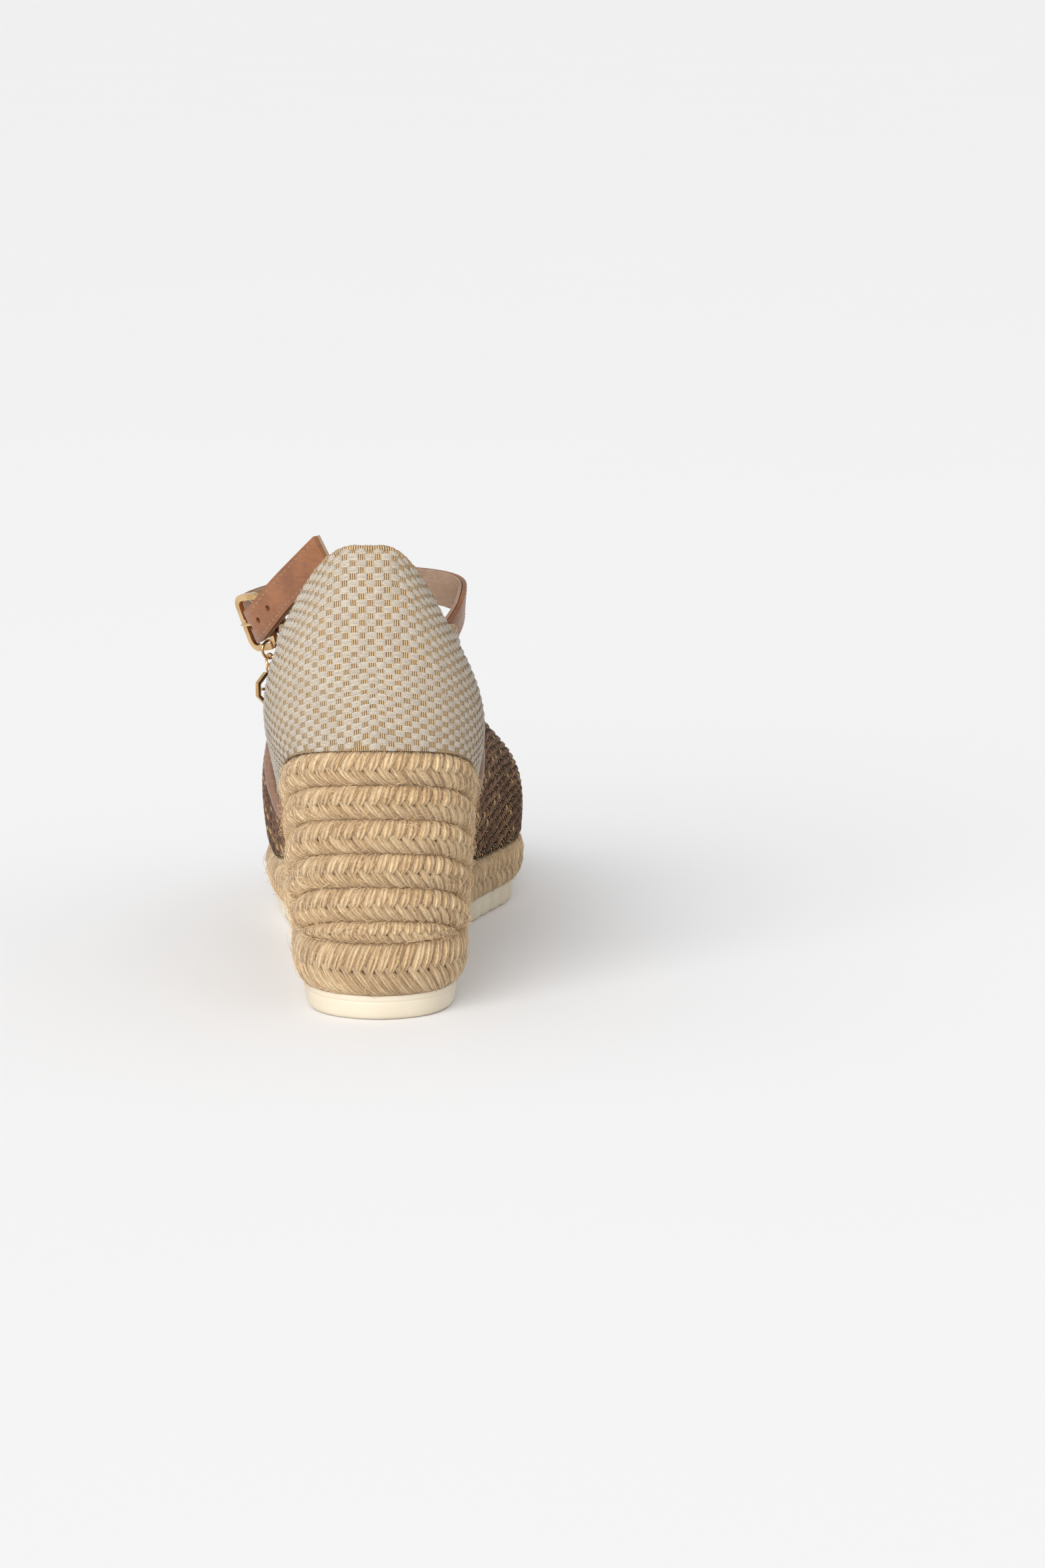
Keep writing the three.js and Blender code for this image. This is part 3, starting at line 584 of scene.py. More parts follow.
# floor
def layFloor():
    clearSelection()
    bpy.ops.mesh.primitive_plane_add(size=studio["floorSize"], location=(0, studio["floorAhead"], 0))
    floor = settle(bpy.context.object)
    floor.name = "floor"
    floor.data.materials.append(looks["floor"])


setCamera()
setLights()
layFloor()
print("studio ready")

# plaited jute rows
jute = dict(outsole=8.7, clearance=0.3, baseHeight=15.2, baseSwell=3.2, rowPitch=11.9, rows=6, depth=6,
            round=3.2, endHeight=1.4, strandPitch=4.5, upperLean=4.83, lowerLean=9.10, stagger=0.55,
            wobble=0.35, swell=(0.85, 1.15), overlap=(-0.17, 1.04), proud=1.15, sink=0.9, step=2.0,
            backSides=9)


def baseHeights(y):
    low = jute["outsole"] + jute["clearance"] + toeLift(y)
    return low, low + jute["baseHeight"] + jute["baseSwell"] * (1 - smooth(y, 0, sole["rampEnd"]))


def rowHeights(row):
    def heights(y):
        high = wedgeTop(y) - row * jute["rowPitch"] - jute["clearance"] / 2
        low = np.maximum(high - jute["rowPitch"], baseHeights(y)[1]) + jute["clearance"]
        return np.minimum(low, high), high
    return heights


def onBraid(distance, across, lift, heights):  # across runs from -1 at a row's low edge to 1 at its high one
    t = turnAtDistance(distance)
    low, high = heights(rim(t)[0][..., 1])
    angle = np.clip(across, -1.05, 1.05) * math.pi / 2
    radius = np.minimum(jute["round"], (high - low) / 2)
    depth = radius * (1 - np.cos(angle)) - lift * np.cos(angle * 0.9)
    height = mix(low, high, (1 + np.sin(angle)) / 2) + lift * 0.35 * np.sin(angle)
    return wedgeSide(t, height, depth)


def rowEnds(heights):  # how far round a row runs each way before it is pinched out
    ends = []
    for way in (-1, 1):
        distance = np.arange(0, outlineRound / 2, 0.5)
        low, high = heights(rim(turnAtDistance(way * distance))[0][:, 1])
        thin = np.nonzero(high - low <= jute["endHeight"])[0]
        ends.append(way * distance[thin[0]] if len(thin) else way * outlineRound / 2)
    return ends


def strandPlaces(shape, start, side, heights):
    # one strand: x runs outwards from under its neighbour, side is 1 in the upper half of the plait
    x, y = shape[0][:, 0] + 0.5, shape[0][:, 1]
    crest = np.maximum(np.cos(math.pi * y), 0) ** 0.6
    low, high = heights(rim(turnAtDistance(start))[0][1])
    lean = (jute["upperLean"] if side > 0 else jute["lowerLean"]) * (high - low) / jute["rowPitch"]
    offset = 0 if side > 0 else jute["stagger"] * jute["strandPitch"]
    wobble, swell = random.uniform(-jute["wobble"], jute["wobble"]), random.uniform(*jute["swell"])
    taper = mix(0.55, 1.12, smooth(x, 0, 0.3))
    distance = start + offset + wobble * (1 - x) + lean * x ** 0.9 + y * jute["strandPitch"] * taper
    across = side * mix(*jute["overlap"], x)
    thick = np.clip((high - low) / 9, 0.2, 1)
    rise = smooth(x, -0.05, 0.3) * mix(1, 0.8, smooth(x, 0.6, 1))
    tuck = 0.35 * (1 - crest) + 0.35 * (1 - smooth(x, 0, 0.16))
    lift = thick * (jute["proud"] * swell * crest * rise - tuck)
    return onBraid(distance, across, lift, heights)


def plaitedRow(name, node, heights, closed=False):
    first, last = (0, outlineRound) if closed else rowEnds(heights)
    shape = pillow(7, 5, 0)
    count = round((last - first) / jute["strandPitch"])
    placed = []
    for k in range(count):
        start = mix(first, last, k / count)
        for side in (1, -1):
            placed.append((strandPlaces(shape, start, side, heights), random.random()))
    braid = copies(name + "_strands", shape, placed)
    finishPiece(braid, "jute", "sole", smoothAngle=70)
    around = int((last - first) / jute["step"])
    distances = np.linspace(first, last, around, endpoint=not closed)
    across = np.linspace(-1, 1, jute["backSides"])
    rings = []
    for distance in distances:
        out = onBraid(np.full_like(across, distance), across, -jute["sink"], heights)
        t = turnAtDistance(distance)
        low, high = heights(rim(t)[0][1])
        back = [wedgeSide(np.array([t]), np.array([z]), jute["depth"])[0] for z in (high, low)]
        rings.append(np.concatenate([out, back]))
    faces = ringFaces(around, len(rings[0]), closed)
    backing = meshPiece(name + "_core", inPlace(np.concatenate(rings)), faces)
    outward(backing)
    finishPiece(backing, "juteShadow", "sole", (node,))


plaitedRow("base_braid", "jute_base_row", baseHeights, closed=True)
for row in range(jute["rows"]):
    plaitedRow(f"braid_{row + 1}", f"jute_row_{row + 1}", rowHeights(row))
print("jute rows plaited")

# canvas heel
heel = dict(inset=0.6, front=84, top=163, drop=35, level=0.09, back=9, frontY=58, inner=26, outer=34,
            lean=-1.6, backBulge=4.5, sideBulge=3.2, seat=0.3, turnedIn=1.3, groundSink=0.15, groundThick=0.9,
            liningSink=2.8, liningTopSink=1.45, liningThick=0.8)
weave = dict(period=5.7, row=2.3, float=3.75, floatWidth=2.37, proud=0.61, sink=0.12, height=74,
             chevron=5.5, chevronHeight=42, spread=17, columns=24)
arcGrid = dict(reach=150, steps=1200, levels=32, shares=240)
heelTurn = turnAt(heel["front"])


def heelSurface(s, v):
    place, out = rim(s * heelTurn)
    base = place - out * heel["inset"]
    base = np.concatenate([base, (wedgeTop(place[..., 1]) + heel["seat"])[..., None]], -1)
    reach = np.abs(s)
    half = np.where(s < 0, -heel["outer"], heel["inner"])
    collar = np.stack([heel["lean"] * (1 - reach) + half * (1 - (1 - reach) ** 1.8),
                       mix(heel["back"], heel["frontY"], reach ** 1.75),
                       heel["top"] - heel["drop"] * smooth(reach, heel["level"], 0.9)], -1)
    bulge = (heel["backBulge"] + heel["sideBulge"] * np.sin(math.pi * reach)) * np.sin(math.pi * v ** 0.85)
    out = np.concatenate([out, np.zeros_like(out[..., :1])], -1)
    return base + (collar - base) * v[..., None] + out * bulge[..., None], out


def onHeel(s, v, lift):  # past v = 1 the cloth folds inwards over the collar's edge
    s, v = np.clip(s, -1, 1), np.asarray(v, float)
    near, inside = np.clip(s, -0.995, 0.995), np.clip(v, 0, 1)
    tiny = 0.004
    at = lambda s, v: heelSurface(s, v)[0]
    one = at(near + tiny, inside) - at(near - tiny, inside)
    two = at(near, np.minimum(inside + tiny, 1)) - at(near, np.maximum(inside - tiny, 0))
    place, out = heelSurface(s, inside)
    normal = unit(np.cross(one, two))
    normal *= np.where((normal * out).sum(-1, keepdims=True) < 0, -1, 1)
    square = unit(mix(out, normal, np.minimum(1, 3 * inside)[..., None]))
    over = np.maximum(v - 1, 0) * weave["height"]
    return place + square * (lift - over)[..., None]


heelLevels = np.linspace(0, 1, arcGrid["levels"] + 1)
heelShares = np.linspace(-1, 1, arcGrid["shares"] + 1)
heelArcs = np.linspace(-arcGrid["reach"], arcGrid["reach"], arcGrid["steps"] + 1)


def heelArcTable():  # the share round the heel at each distance from its back seam, at each level
    rows = []
    for v in heelLevels:
        line = heelSurface(heelShares, np.full_like(heelShares, v))[0]
        lengths = runLength(line)
        lengths -= np.interp(0, heelShares, lengths)
        rows.append(np.interp(heelArcs, lengths, heelShares, left=-2, right=2))
    return np.array(rows)


arcTable = heelArcTable()


def shareAt(arc, v):
    perMillimetre = arcGrid["steps"] / (2 * arcGrid["reach"])
    x = np.clip((arc + arcGrid["reach"]) * perMillimetre, 0, arcGrid["steps"] - 0.01)
    y = np.clip(v, 0, 1) * (arcGrid["levels"] - 0.001)
    i, j = x.astype(int), y.astype(int)
    a, b = x - i, y - j
    low, high = [mix(arcTable[k, i], arcTable[k, i + 1], a) for k in (j, j + 1)]
    return mix(low, high, b)


def rowRise(arc, height):  # the weave's rows climb towards the dart at the bottom of the back seam
    fade = 1 - smooth(height, 2, weave["chevronHeight"])
    return weave["chevron"] * np.exp(-np.abs(arc) / weave["spread"]) * fade


def weaveCanvas():
    shape = pillow(4, 4, 0.14)
    x, y = shape[0][:, 0], shape[0][:, 1]
    crest = np.cos(math.pi * x * 0.94) ** 0.7 * np.maximum(np.cos(math.pi * y), 0) ** 0.55
    placed = []
    for j in range(-4, int(weave["height"] / weave["row"]) + 2):
        for i in range(-weave["columns"], weave["columns"] + 1):
            centre = (i + 0.5 * (j % 2)) * weave["period"] + random.uniform(-0.12, 0.12)
            arc = centre + x * weave["float"] * random.uniform(0.94, 1.06)
            level = (j + 0.5) * weave["row"] + random.uniform(-0.08, 0.08)
            height = level + y * weave["floatWidth"] + rowRise(arc, np.full_like(arc, level))
            middle = level + rowRise(np.array([centre]), np.array([level]))[0]
            share = shareAt(np.array([centre]), np.array([middle / weave["height"]]))[0]
            if not 0.4 < middle < weave["height"] + 0.9 or abs(share) > 0.985:
                continue
            v = np.maximum(height, 0.05) / weave["height"]
            s = np.clip(shareAt(arc, v), -0.992, 0.992)
            lift = weave["proud"] * random.uniform(0.85, 1.15) * crest - weave["sink"]
            placed.append((onHeel(s, v, lift), random.random()))
    floats = copies("canvas_floats", shape, placed)
    return finishPiece(floats, "float", "sole", smoothAngle=75)


def heelUv(s, v):
    arcs = np.zeros_like(s)
    for k in range(len(s)):
        level = int(round(min(v[k], 1) * arcGrid["levels"]))
        arcs[k] = np.interp(s[k], arcTable[level], heelArcs)
    height = v * weave["height"]
    return np.stack([arcs, height - rowRise(arcs, height)], -1)


def layCloth(name, at, shares, levels, uvOf, thickness, look, node):
    # a stretched sheet; its flat size and area are measured on its own surface
    s, v = [g.ravel() for g in np.meshgrid(shares, levels, indexing="ij")]
    points = at(s, v)
    piece = meshPiece(name, inPlace(points), gridFaces(len(shares), len(levels)), uvOf(s, v))
    addModifier(piece, "SOLIDIFY", thickness=thickness * 0.001, offset=-1, use_even_offset=True)
    finishPiece(piece, look, "sole", (node,))
    grid = points.reshape(len(shares), len(levels), 3)
    a, b = np.diff(grid, axis=0)[:, :-1], np.diff(grid, axis=1)[:-1]
    area = np.linalg.norm(np.cross(a, b), axis=-1).sum() * 1e-6
    wide = np.linalg.norm(np.diff(grid, axis=0), axis=-1).sum(0).max() * 1e-3
    high = np.linalg.norm(np.diff(grid, axis=1), axis=-1).sum(1).max() * 1e-3
    min(area, wide * high)


canvasShares = np.linspace(-1, 1, 121)
canvasLevels = np.append(np.linspace(0, 1, 41), 1 + heel["turnedIn"] / weave["height"])
groundAt = lambda s, v: onHeel(s, v, np.full(s.shape, -heel["groundSink"]))
liningDepth = lambda v: mix(heel["liningSink"], heel["liningTopSink"], smooth(v, 0.8, 1))
heelLiningAt = lambda s, v: onHeel(s, v, -liningDepth(v))
floats = weaveCanvas()
layCloth("canvas_ground", groundAt, canvasShares, canvasLevels, heelUv, heel["groundThick"],
         "ground", "heel_canvas")
layCloth("heel_lining_cloth", heelLiningAt, np.linspace(-1, 1, 97), np.linspace(0, 1, 31), heelUv,
         heel["liningThick"], "lining", "heel_lining")
print("canvas heel woven")

# woven open-toe vamp
vamp = dict(inset=1, throat=135, throatSide=90, toe=203.04, toeSide=214.08, instep=94, toeHeight=52,
            seat=0.3, flare=18, flareEnd=199.2, fullness=0.72, shoulder=0.92, thick=1.6, lining=0.8, gap=0.3,
            halfRound=82, columnPitch=3.7, rowPitch=4.4, columns=23, rows=30, meshSink=0.1, meshThick=1.2,
            liningThick=0.7)
leatherStrip = dict(length=5.4, width=1.35, angle=52, proud=0.62, sink=0.1, shift=0)
goldCord = dict(length=2.2, width=0.85, angle=-38, proud=0.5, sink=0.12, shift=0.5)


def vampLines(s):
    reach = np.minimum(np.abs(s), 1)
    throat = mix(vamp["throat"], vamp["throatSide"], reach ** 1.6)
    return throat, mix(vamp["toe"], vamp["toeSide"], reach ** 2)


def vampSurface(s, v):
    reach, sign = np.minimum(np.abs(s), 1), np.where(s < 0, -1, 1)
    throat, toe = vampLines(s)
    y = mix(throat, toe, v)
    place, out = rim(sign * turnAt(y))
    foot = (place - out * vamp["inset"])[..., 0]
    low = wedgeTop(y) + vamp["seat"]
    crown = mix(vamp["instep"], vamp["toeHeight"],
                np.clip((y - vamp["throat"]) / (vamp["toe"] - vamp["throat"]), 0, 1.2))
    flare = vamp["flare"] * np.clip((vamp["flareEnd"] - y) / (vamp["flareEnd"] - vamp["throatSide"]), 0, 1)
    outer, t = foot + sign * flare, 1 - reach
    bend = lambda a, b, c, d: ((1 - t) ** 3 * a + 3 * t * (1 - t) ** 2 * b
                               + 3 * t * t * (1 - t) * c + t ** 3 * d)
    side = bend(foot, outer, vamp["shoulder"] * outer, 0)
    height = bend(low, mix(low, crown, vamp["fullness"]), crown, crown)
    return np.stack([side, y, height], -1)


def onVamp(s, v, lift):
    s, v = np.clip(s, -1, 1), np.clip(v, 0, 1)
    near, tiny = np.clip(s, -0.99, 0.99), 0.004
    one = vampSurface(near + tiny, v) - vampSurface(near - tiny, v)
    two = vampSurface(near, np.minimum(v + tiny, 1)) - vampSurface(near, np.maximum(v - tiny, 0))
    normal = unit(np.cross(one, two))
    hint = np.stack([near, np.zeros_like(near), 1 - np.abs(near)], -1)
    normal *= np.where((normal * hint).sum(-1, keepdims=True) < 0, -1, 1)
    return vampSurface(s, v) + normal * np.broadcast_to(lift, s.shape)[..., None]


def vampStrips(name, look, strip):
    shape = pillow(5, 3, 0.3)
    x, y = shape[0][:, 0], shape[0][:, 1]
    crest = np.maximum(np.cos(math.pi * x), 0) ** 0.45 * np.maximum(np.cos(math.pi * y), 0) ** 0.4
    placed = []
    for j in range(vamp["rows"]):
        for i in range(-vamp["columns"], vamp["columns"] + 1):
            centre = (i + 0.5 * (j % 2) + strip["shift"]) * vamp["columnPitch"] / vamp["halfRound"]
            ahead = vamp["throatSide"] + (j + strip["shift"]) * vamp["rowPitch"]
            turn = math.radians(strip["angle"] + random.uniform(-5, 5))
            long, wide = x * strip["length"] * random.uniform(0.85, 1.1), y * strip["width"]
            s = centre - (long * math.cos(turn) - wide * math.sin(turn)) / vamp["halfRound"]
            throat, toe = vampLines(s)
            v = (ahead + long * math.sin(turn) + wide * math.cos(turn) - throat) / (toe - throat)
            if abs(centre) > 0.985 or v.mean() < 0.0 or v.mean() > 1.0:
                continue
            lift = strip["proud"] * crest - strip["sink"]
            placed.append((onVamp(np.clip(s, -0.99, 0.99), v, lift), random.random()))
    return finishPiece(copies(name, shape, placed), look, "sole", smoothAngle=75)


def vampUv(s, v):
    throat, toe = vampLines(s)
    return np.stack([s * vamp["halfRound"], mix(throat, toe, v)], -1)


strips = vampStrips("leather_strips", "strip", leatherStrip)
cords = vampStrips("gold_cords", "lurex", goldCord)
vampShares, vampLevels = np.linspace(-1, 1, 81), np.linspace(0, 1, 33)
meshAt = lambda s, v: onVamp(s, v, -vamp["meshSink"])
vampLiningAt = lambda s, v: onVamp(s, v, -vamp["thick"] - vamp["gap"])
layCloth("vamp_mesh", meshAt, vampShares, vampLevels, vampUv, vamp["meshThick"],
         "mesh", "vamp_woven")
layCloth("vamp_lining_cloth", vampLiningAt, vampShares, vampLevels, vampUv, vamp["liningThick"],
         "lining", "vamp_lining")

# rolled leather bindings along the vamp's throat and toe edge
binding = dict(wide=3.3, thick=2.15, offset=2.0, reachThroat=0.975, reachToe=0.80, sides=20, stations=140,
               foldReach=0.985, foldDepth=1.6, foldHigh=1.25, foldThick=2.1, foldStations=180)


def tubeMesh(name, places, firsts, seconds):  # a ring of points about each place
    sides = binding["sides"]
    turn = np.arange(sides) * 2 * math.pi / sides
    points = (places[:, None] + firsts[:, None] * np.cos(turn)[None, :, None]
              + seconds[:, None] * np.sin(turn)[None, :, None])
    uvs = np.stack([np.repeat(runLength(places), sides), np.tile(turn / (2 * math.pi), len(places))], -1)
    piece = meshPiece(name, inPlace(points.reshape(-1, 3)), ringFaces(len(places), sides), uvs)
    outward(piece)
    return piece


def edgeRoll(name, v, reach, node):
    s = np.linspace(-reach, reach, binding["stations"])
    inner = np.full_like(s, 0.03 if v == 0 else 0.97)
    middle = -(vamp["thick"] + vamp["gap"] + vamp["lining"]) / 2
    edge, inside = onVamp(s, np.full_like(s, v), middle), onVamp(s, inner, middle)
    away = unit(edge - inside)
    square = unit(onVamp(s, np.full_like(s, v), 0.0) - edge)
    ripple = 1 + 0.03 * np.sin(s * 61) + 0.02 * np.sin(s * 137 + 1)
    fade = np.minimum(1, (reach - np.abs(s)) / 0.03 + 0.45)
    wide, thick = binding["wide"] * ripple * fade, binding["thick"] * ripple * fade
    roll = tubeMesh(name, edge + away * binding["offset"], away * wide[:, None], square * thick[:, None])
    return finishPiece(roll, "binding", "sole", (node,))


def foldCollar():  # the canvas turns over the collar's edge
    s = np.linspace(-binding["foldReach"], binding["foldReach"], binding["foldStations"])
    edge, inside = [onHeel(s, np.full_like(s, v), -binding["foldDepth"]) for v in (0.988, 0.95)]
    away, square = unit(edge - inside), unit(onHeel(s, np.full_like(s, 0.988), 0.0) - edge)
    lumps = 1 + 0.06 * np.sin(s * 190) + 0.04 * np.sin(s * 71 + 2)
    fold = tubeMesh("collar_fold", edge, away * binding["foldHigh"] * lumps[:, None],
                    square * binding["foldThick"] * lumps[:, None])
    return finishPiece(fold, "ground", "sole")


foldCollar()
edgeRoll("throat_roll", 0, binding["reachThroat"], "throat_binding")
edgeRoll("toe_roll", 1, binding["reachToe"], "toe_binding")
print("vamp woven and bound")

# ankle strap, with its stitches
strap = dict(width=12, outer=1.5, lining=1.1, gap=0.3, stitchInset=1.5, stitchPitch=2.7, stitchLength=1.9,
             stitchWidth=0.55, stitchProud=0.32, stitchSink=0.1, bevel=0.32, tabBevel=0.25)
buckle = dict(bar=(-39.5, 72, 126.6), across=(0.33, 0, -0.944), forward=(-0.611, 0.763, -0.213), length=16,
              wire=2.2, thick=1.8, eye=1.75, tab=1.2)
barCentre = np.array(buckle["bar"])
barAcross, barForward = unit(np.array(buckle["across"])), unit(np.array(buckle["forward"]))
barOut = unit(np.cross(barForward, barAcross))
stackThick = strap["outer"] + strap["gap"] + strap["lining"]


def atBuckle(forward, across, out):
    return barCentre + barForward * forward + barAcross * across + barOut * out


def strapCurves():
    over = buckle["eye"] + buckle["tab"] + strap["gap"] + stackThick / 2
    under = -(buckle["thick"] / 2 + strap["gap"] + stackThick / 2)
    ahead = buckle["length"] - buckle["wire"] - 1.5
    route = [  # from the inner side round the ankle to the tail: each place and the way the strap faces
        ((17.6, 50, 114), (0.94, -0.34, 0)), ((21.2, 61, 120), (0.95, -0.3, 0)),
        ((27, 73, 129), (0.98, 0.1, 0)), ((26, 90, 133), (0.85, 0.55, 0)), ((10, 103, 134), (0.3, 0.95, 0)),
        ((-14, 108, 133), (-0.12, 0.99, 0)), ((-36, 103, 129), (-0.55, 0.83, 0)),
        ((-48, 93, 126), (-0.96, 0.2, -0.1)),
        (atBuckle(ahead, 0, under - 0.3), barOut), (atBuckle(1.5, 0, over), barOut),
        ((-33.5, 54, 133 + strap["width"] / 2), (-0.76, -0.62, -0.15)),
        ((-18, 35, 151 + strap["width"] / 2), (-0.76, -0.63, -0.1))]
    return spline([p for p, _ in route], centripetal=True), spline([d for _, d in route])


strapPath, strapFacing = strapCurves()


def strapFrame(share):
    before, after = np.maximum(share - 0.002, 0), np.minimum(share + 0.002, 1)
    ahead = unit(along(strapPath, after) - along(strapPath, before))
    face = along(strapFacing, share)
    out = unit(face - ahead * (ahead * face).sum(-1, keepdims=True))
    return along(strapPath, share), ahead, out, np.cross(ahead, out)


def stitchAt(shape, sizes, place, ahead, across, out):
    x, y, z = shape[0].T
    lift = np.cos(math.pi * x * 0.9) * sizes["stitchProud"] * (z > 0) - sizes["stitchSink"]
    return (place + np.outer(x * sizes["stitchLength"], ahead) + np.outer(y * sizes["stitchWidth"], across)
            + np.outer(lift, out))


def sewStrap(name, face):  # two rows of stitches on one face of the strap
    shape = pillow(3, 2, 0.35)
    fine = np.linspace(0, 1, 1500)
    line = along(strapPath, fine)
    lengths = runLength(line)
    placed = []
    for distance in np.arange(2.5, lengths[-1] - 2, strap["stitchPitch"]):
        place, ahead, out, across = strapFrame(np.interp(distance, lengths, fine))
        for side in (-1, 1):
            edge = place + across * side * (strap["width"] / 2 - strap["stitchInset"])
            edge = edge + out * face * stackThick / 2
            placed.append((stitchAt(shape, strap, edge, ahead, across, out * face), random.random()))
    stitches = copies(name, shape, placed)
    return finishPiece(stitches, "thread", "strap")


def easeEdges(piece, width, segments, angle):  # rounds the edges sharper than the angle
    addModifier(piece, "BEVEL", width=width * 0.001, segments=segments, limit_method="ANGLE",
                angle_limit=math.radians(angle))


def leatherBand(name, node, look, width):
    band = cadCopy(name, node)
    easeEdges(band, width, 3, 40)
    return finishPiece(band, look, "strap", (node,), smoothAngle=35)


leatherBand("strap_band", "ankle_strap", "strap", strap["bevel"])
leatherBand("strap_back", "strap_lining", "strapBack", strap["bevel"])
leatherBand("tab_band", "buckle_tab", "strap", strap["tabBevel"])
sewStrap("strap_stitches", 1)
sewStrap("strap_back_stitches", -1)
print("strap sewn")

# buckle, rings and charm
metal = dict(frameRound=0.62, charmRound=0.22, jumpWire=0.55, linkWire=0.5, jumpRadius=3.2, linkRadius=2.3)


def castPiece(name, node, body, width, segments, angle):
    cast = cadCopy(name, node)
    easeEdges(cast, width, segments, angle)
    return finishPiece(cast, "metal", body, (node,), smoothAngle=55)


def wireRing(name, node, body, radius, wire, axis):  # a round ring in the middle of its CAD node
    clearSelection()
    low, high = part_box(node)
    turn = Vector(axis).to_track_quat("Z", "Y").to_euler()
    bpy.ops.mesh.primitive_torus_add(location=(low + high) / 2, rotation=turn, major_segments=64,
                                     minor_segments=16, major_radius=radius * 0.001,
                                     minor_radius=wire * 0.001)
    ring = settle(bpy.context.object)
    ring.name = name
    return finishPiece(ring, "metal", body, (node,))


castPiece("buckle_bow", "buckle_frame", "strap", metal["frameRound"], 4, 30)
prong = cadCopy("prong_pin", "buckle_prong")
addModifier(prong, "SUBSURF", levels=2, render_levels=2)
finishPiece(prong, "metal", "prong", ("buckle_prong",), smoothAngle=60)
ringAcross = unit(barForward * (1, 1, 0))
ringAlong = np.cross((0, 0, 1), ringAcross)
wireRing("upper_split_ring", "jump_ring", "upper_ring", metal["jumpRadius"], metal["jumpWire"], ringAcross)
wireRing("lower_link", "link_ring", "lower_ring", metal["linkRadius"], metal["linkWire"], ringAlong)
castPiece("octagon_charm", "charm", "pendant", metal["charmRound"], 2, 25)
print("buckle and charm cast")

# footbed and outsole
bed = dict(inset=5, sockLow=5.3, sockHigh=6.5, edge=0.5, around=160, foamRound=0.5, fill=0.9, stitchInset=8.5,
           stitchPitch=3.2, stitchLength=2.2, stitchWidth=0.55, stitchProud=0.28, stitchSink=0.08)
outsole = dict(step=2.5, around=420, lugPitch=8.5, lugDepth=1.0, lugsFrom=118, lugsFull=140, wall=[
    # height, inset and share of the grooves' depth, from the ground up
    (0, 1.9, 1), (0.25, 1.2, 1), (0.8, 0.5, 1), (1.7, 0.1, 1), (3.2, 0, 1), (5.2, 0, 1), (6.0, 0.05, 0.4),
    (6.5, 0.25, 0), (7.0, 0, 0), (8.2, 0, 0), (8.7, 0.3, 0)])


def stackedLoops(name, loops):  # a closed solid between loops; the caps are ladders across the sole
    size = len(loops[0])
    faces = [(i * size + k, i * size + (k + 1) % size, (i + 1) * size + (k + 1) % size, (i + 1) * size + k)
             for i in range(len(loops) - 1) for k in range(size)]
    top = (len(loops) - 1) * size
    for k in range(size // 2 - 1):
        pair = size - 1 - k
        faces.append((top + k, top + k + 1, top + pair - 1, top + pair))
        faces.append((pair, pair - 1, k + 1, k))
    piece = meshPiece(name, inPlace(np.concatenate(loops)), faces)
    outward(piece)
    return piece


def layFootbed():
    t = (np.arange(bed["around"]) + 0.5) / bed["around"]
    loop = lambda depth, height: onWedge(t, depth, height)
    inset, low, high, edge = bed["inset"], bed["sockLow"], bed["sockHigh"], bed["edge"]
    sock = stackedLoops("sock_leather", [
        loop(inset + 0.2, low), loop(inset, low + 0.2), loop(inset, high - edge),
        loop(inset + 0.3 * edge, high - 0.3 * edge), loop(inset + edge, high)])
    finishPiece(sock, "sock", "sole", ("insole_sock",))
    foam = cadCopy("footbed_cushion", "footbed_foam")
    easeEdges(foam, bed["foamRound"], 2, 50)
    finishPiece(foam, "foam", "sole", ("footbed_foam",))
    shape = pillow(3, 2, 0.35)
    placed = []
    for distance in np.arange(0, outlineRound, bed["stitchPitch"]):
        here, ahead, side = [onWedge(turnAtDistance(distance + step), bed["stitchInset"] + depth, high)
                             for step, depth in ((0, 0), (0.5, 0), (0, 0.5))]
        placed.append((stitchAt(shape, bed, here, unit(ahead - here), unit(side - here), (0, 0, 1)),
                       random.random()))
    finishPiece(copies("sock_stitches", shape, placed), "thread", "sole")


def outsoleLoop(t, height, depth, lug):
    place, out = rim(t)
    distance = np.interp(t, outline[0], outlineSteps)
    groove = (0.5 + 0.5 * np.cos(distance * 2 * math.pi / outsole["lugPitch"])) ** 4
    groove *= smooth(place[:, 1], outsole["lugsFrom"], outsole["lugsFull"]) * outsole["lugDepth"] * lug
    inset = outsole["step"] + depth + groove
    return wedgeSide(t, height + toeLift((place - out * inset[:, None])[:, 1]), inset)


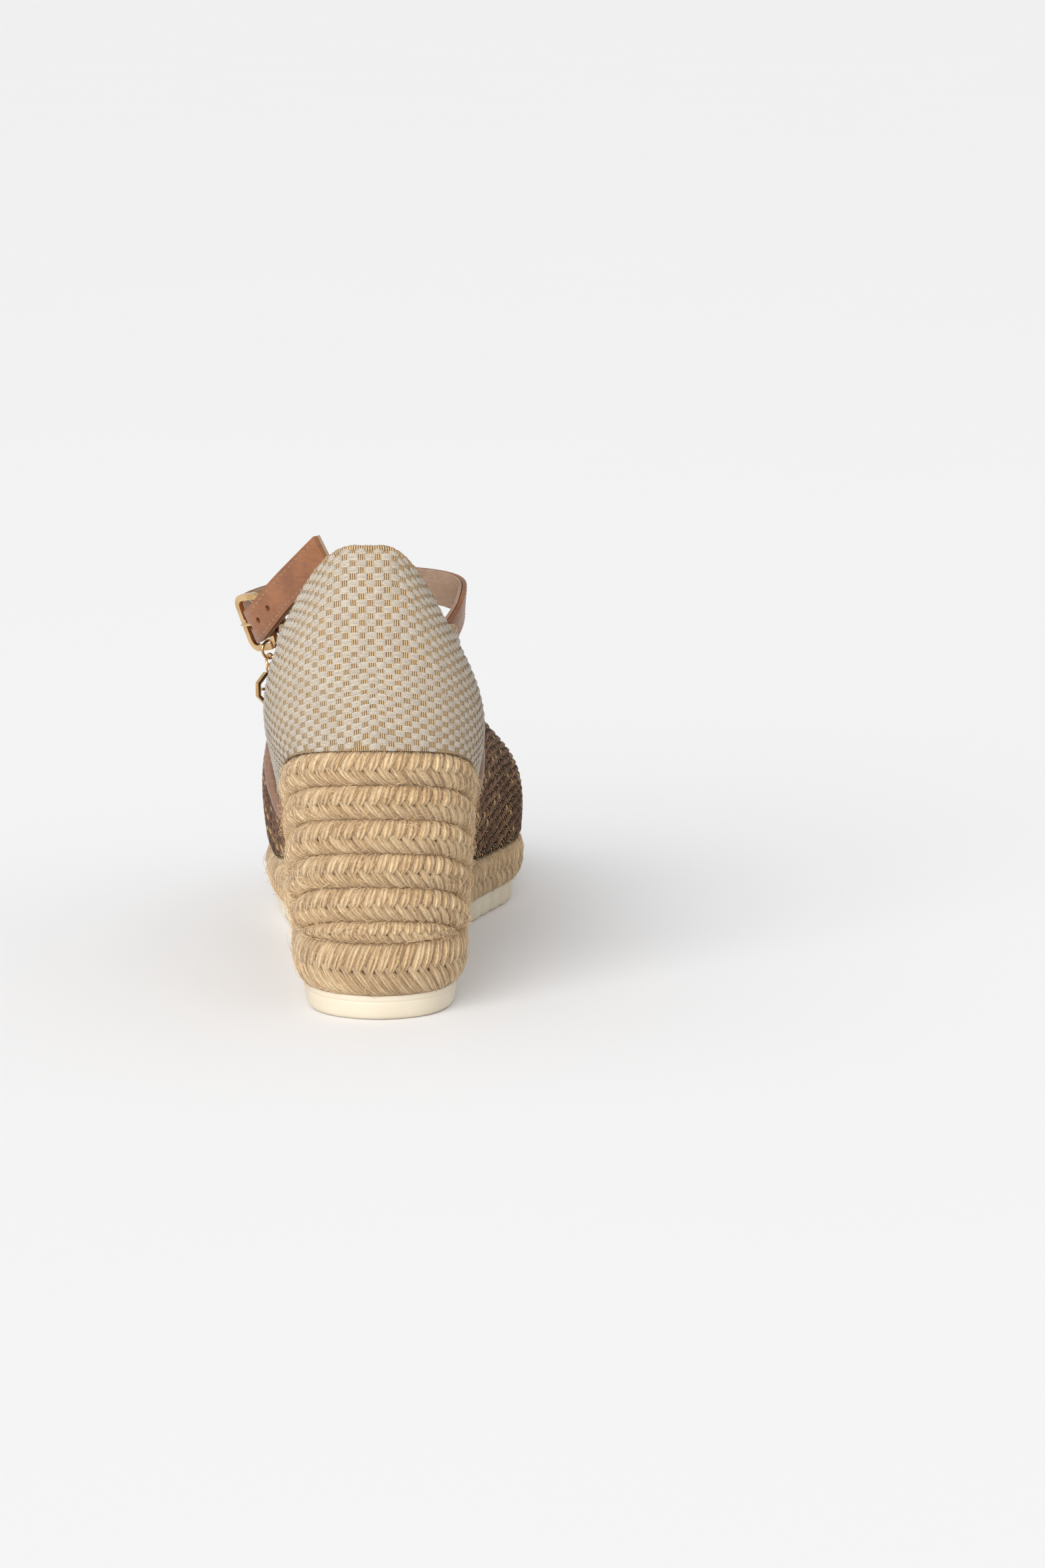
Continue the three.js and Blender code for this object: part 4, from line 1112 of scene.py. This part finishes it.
def moldOutsole():
    t = (np.arange(outsole["around"]) + 0.5) / outsole["around"]
    rubber = stackedLoops("molded_outsole", [outsoleLoop(t, *level) for level in outsole["wall"]])
    return finishPiece(rubber, "rubber", "sole", ("outsole",), smoothAngle=40)


layFootbed()
moldOutsole()
for node, look in (("wedge_core", "cork"), ("insole_board", "board"), ("heel_stiffener", "board")):
    nodes[node].data.materials.clear()
    nodes[node].data.materials.append(looks[look])
print("sole finished")

# loose jute fibres
fuzz = dict(count=5400, longest=7.0, radius=0.05, sides=3, joints=4, heelReach=70, leastRow=3)


def looseFibres():
    sides, joints = fuzz["sides"], fuzz["joints"]
    points, faces, tones = [], [], []
    for _ in range(fuzz["count"]):
        row = random.randrange(-1, jute["rows"])
        heights = baseHeights if row < 0 else rowHeights(row)
        reach = outlineRound / 2 if row < 0 else fuzz["heelReach"]
        distance, across = random.uniform(-reach, reach), random.choice((-1, 1)) * random.random() ** 0.6
        low, high = heights(rim(turnAtDistance(distance))[0][1])
        if high - low < fuzz["leastRow"]:
            continue
        length = random.uniform(0.35, 1) * fuzz["longest"]
        drift, climb = random.uniform(-1, 1), random.uniform(-0.12, 0.12)
        curl = random.uniform(0, 1) ** 1.6 * 2.4
        steps = np.linspace(0, 1, joints)
        line = onBraid(distance + drift * length * steps, across + climb * length * steps,
                       0.75 + curl * np.sin(steps * math.pi * random.uniform(0.4, 0.95)), heights)
        ahead = unit(np.gradient(line, axis=0))
        first = unit(np.cross(ahead, (0.3, 0.2, 0.9)))
        second = np.cross(ahead, first)
        base = sum(len(p) for p in points)
        for turn in range(sides):
            angle = turn * 2 * math.pi / sides
            points.append(line + fuzz["radius"] * (first * math.cos(angle) + second * math.sin(angle)))
        for turn in range(sides):
            here, after = base + turn * joints, base + ((turn + 1) % sides) * joints
            faces += [(here + j, here + j + 1, after + j + 1, after + j) for j in range(joints - 1)]
        faces += [tuple(base + turn * joints for turn in range(sides)),
                  tuple(base + turn * joints + joints - 1 for turn in reversed(range(sides)))]
        tones += [random.random()] * sides * joints
    fibres = meshPiece("loose_fibres", inPlace(np.concatenate(points)), faces, None, tones)
    outward(fibres)
    finishPiece(fibres, "fibre", "sole")


looseFibres()
print("fibres scattered")

print("finishing")
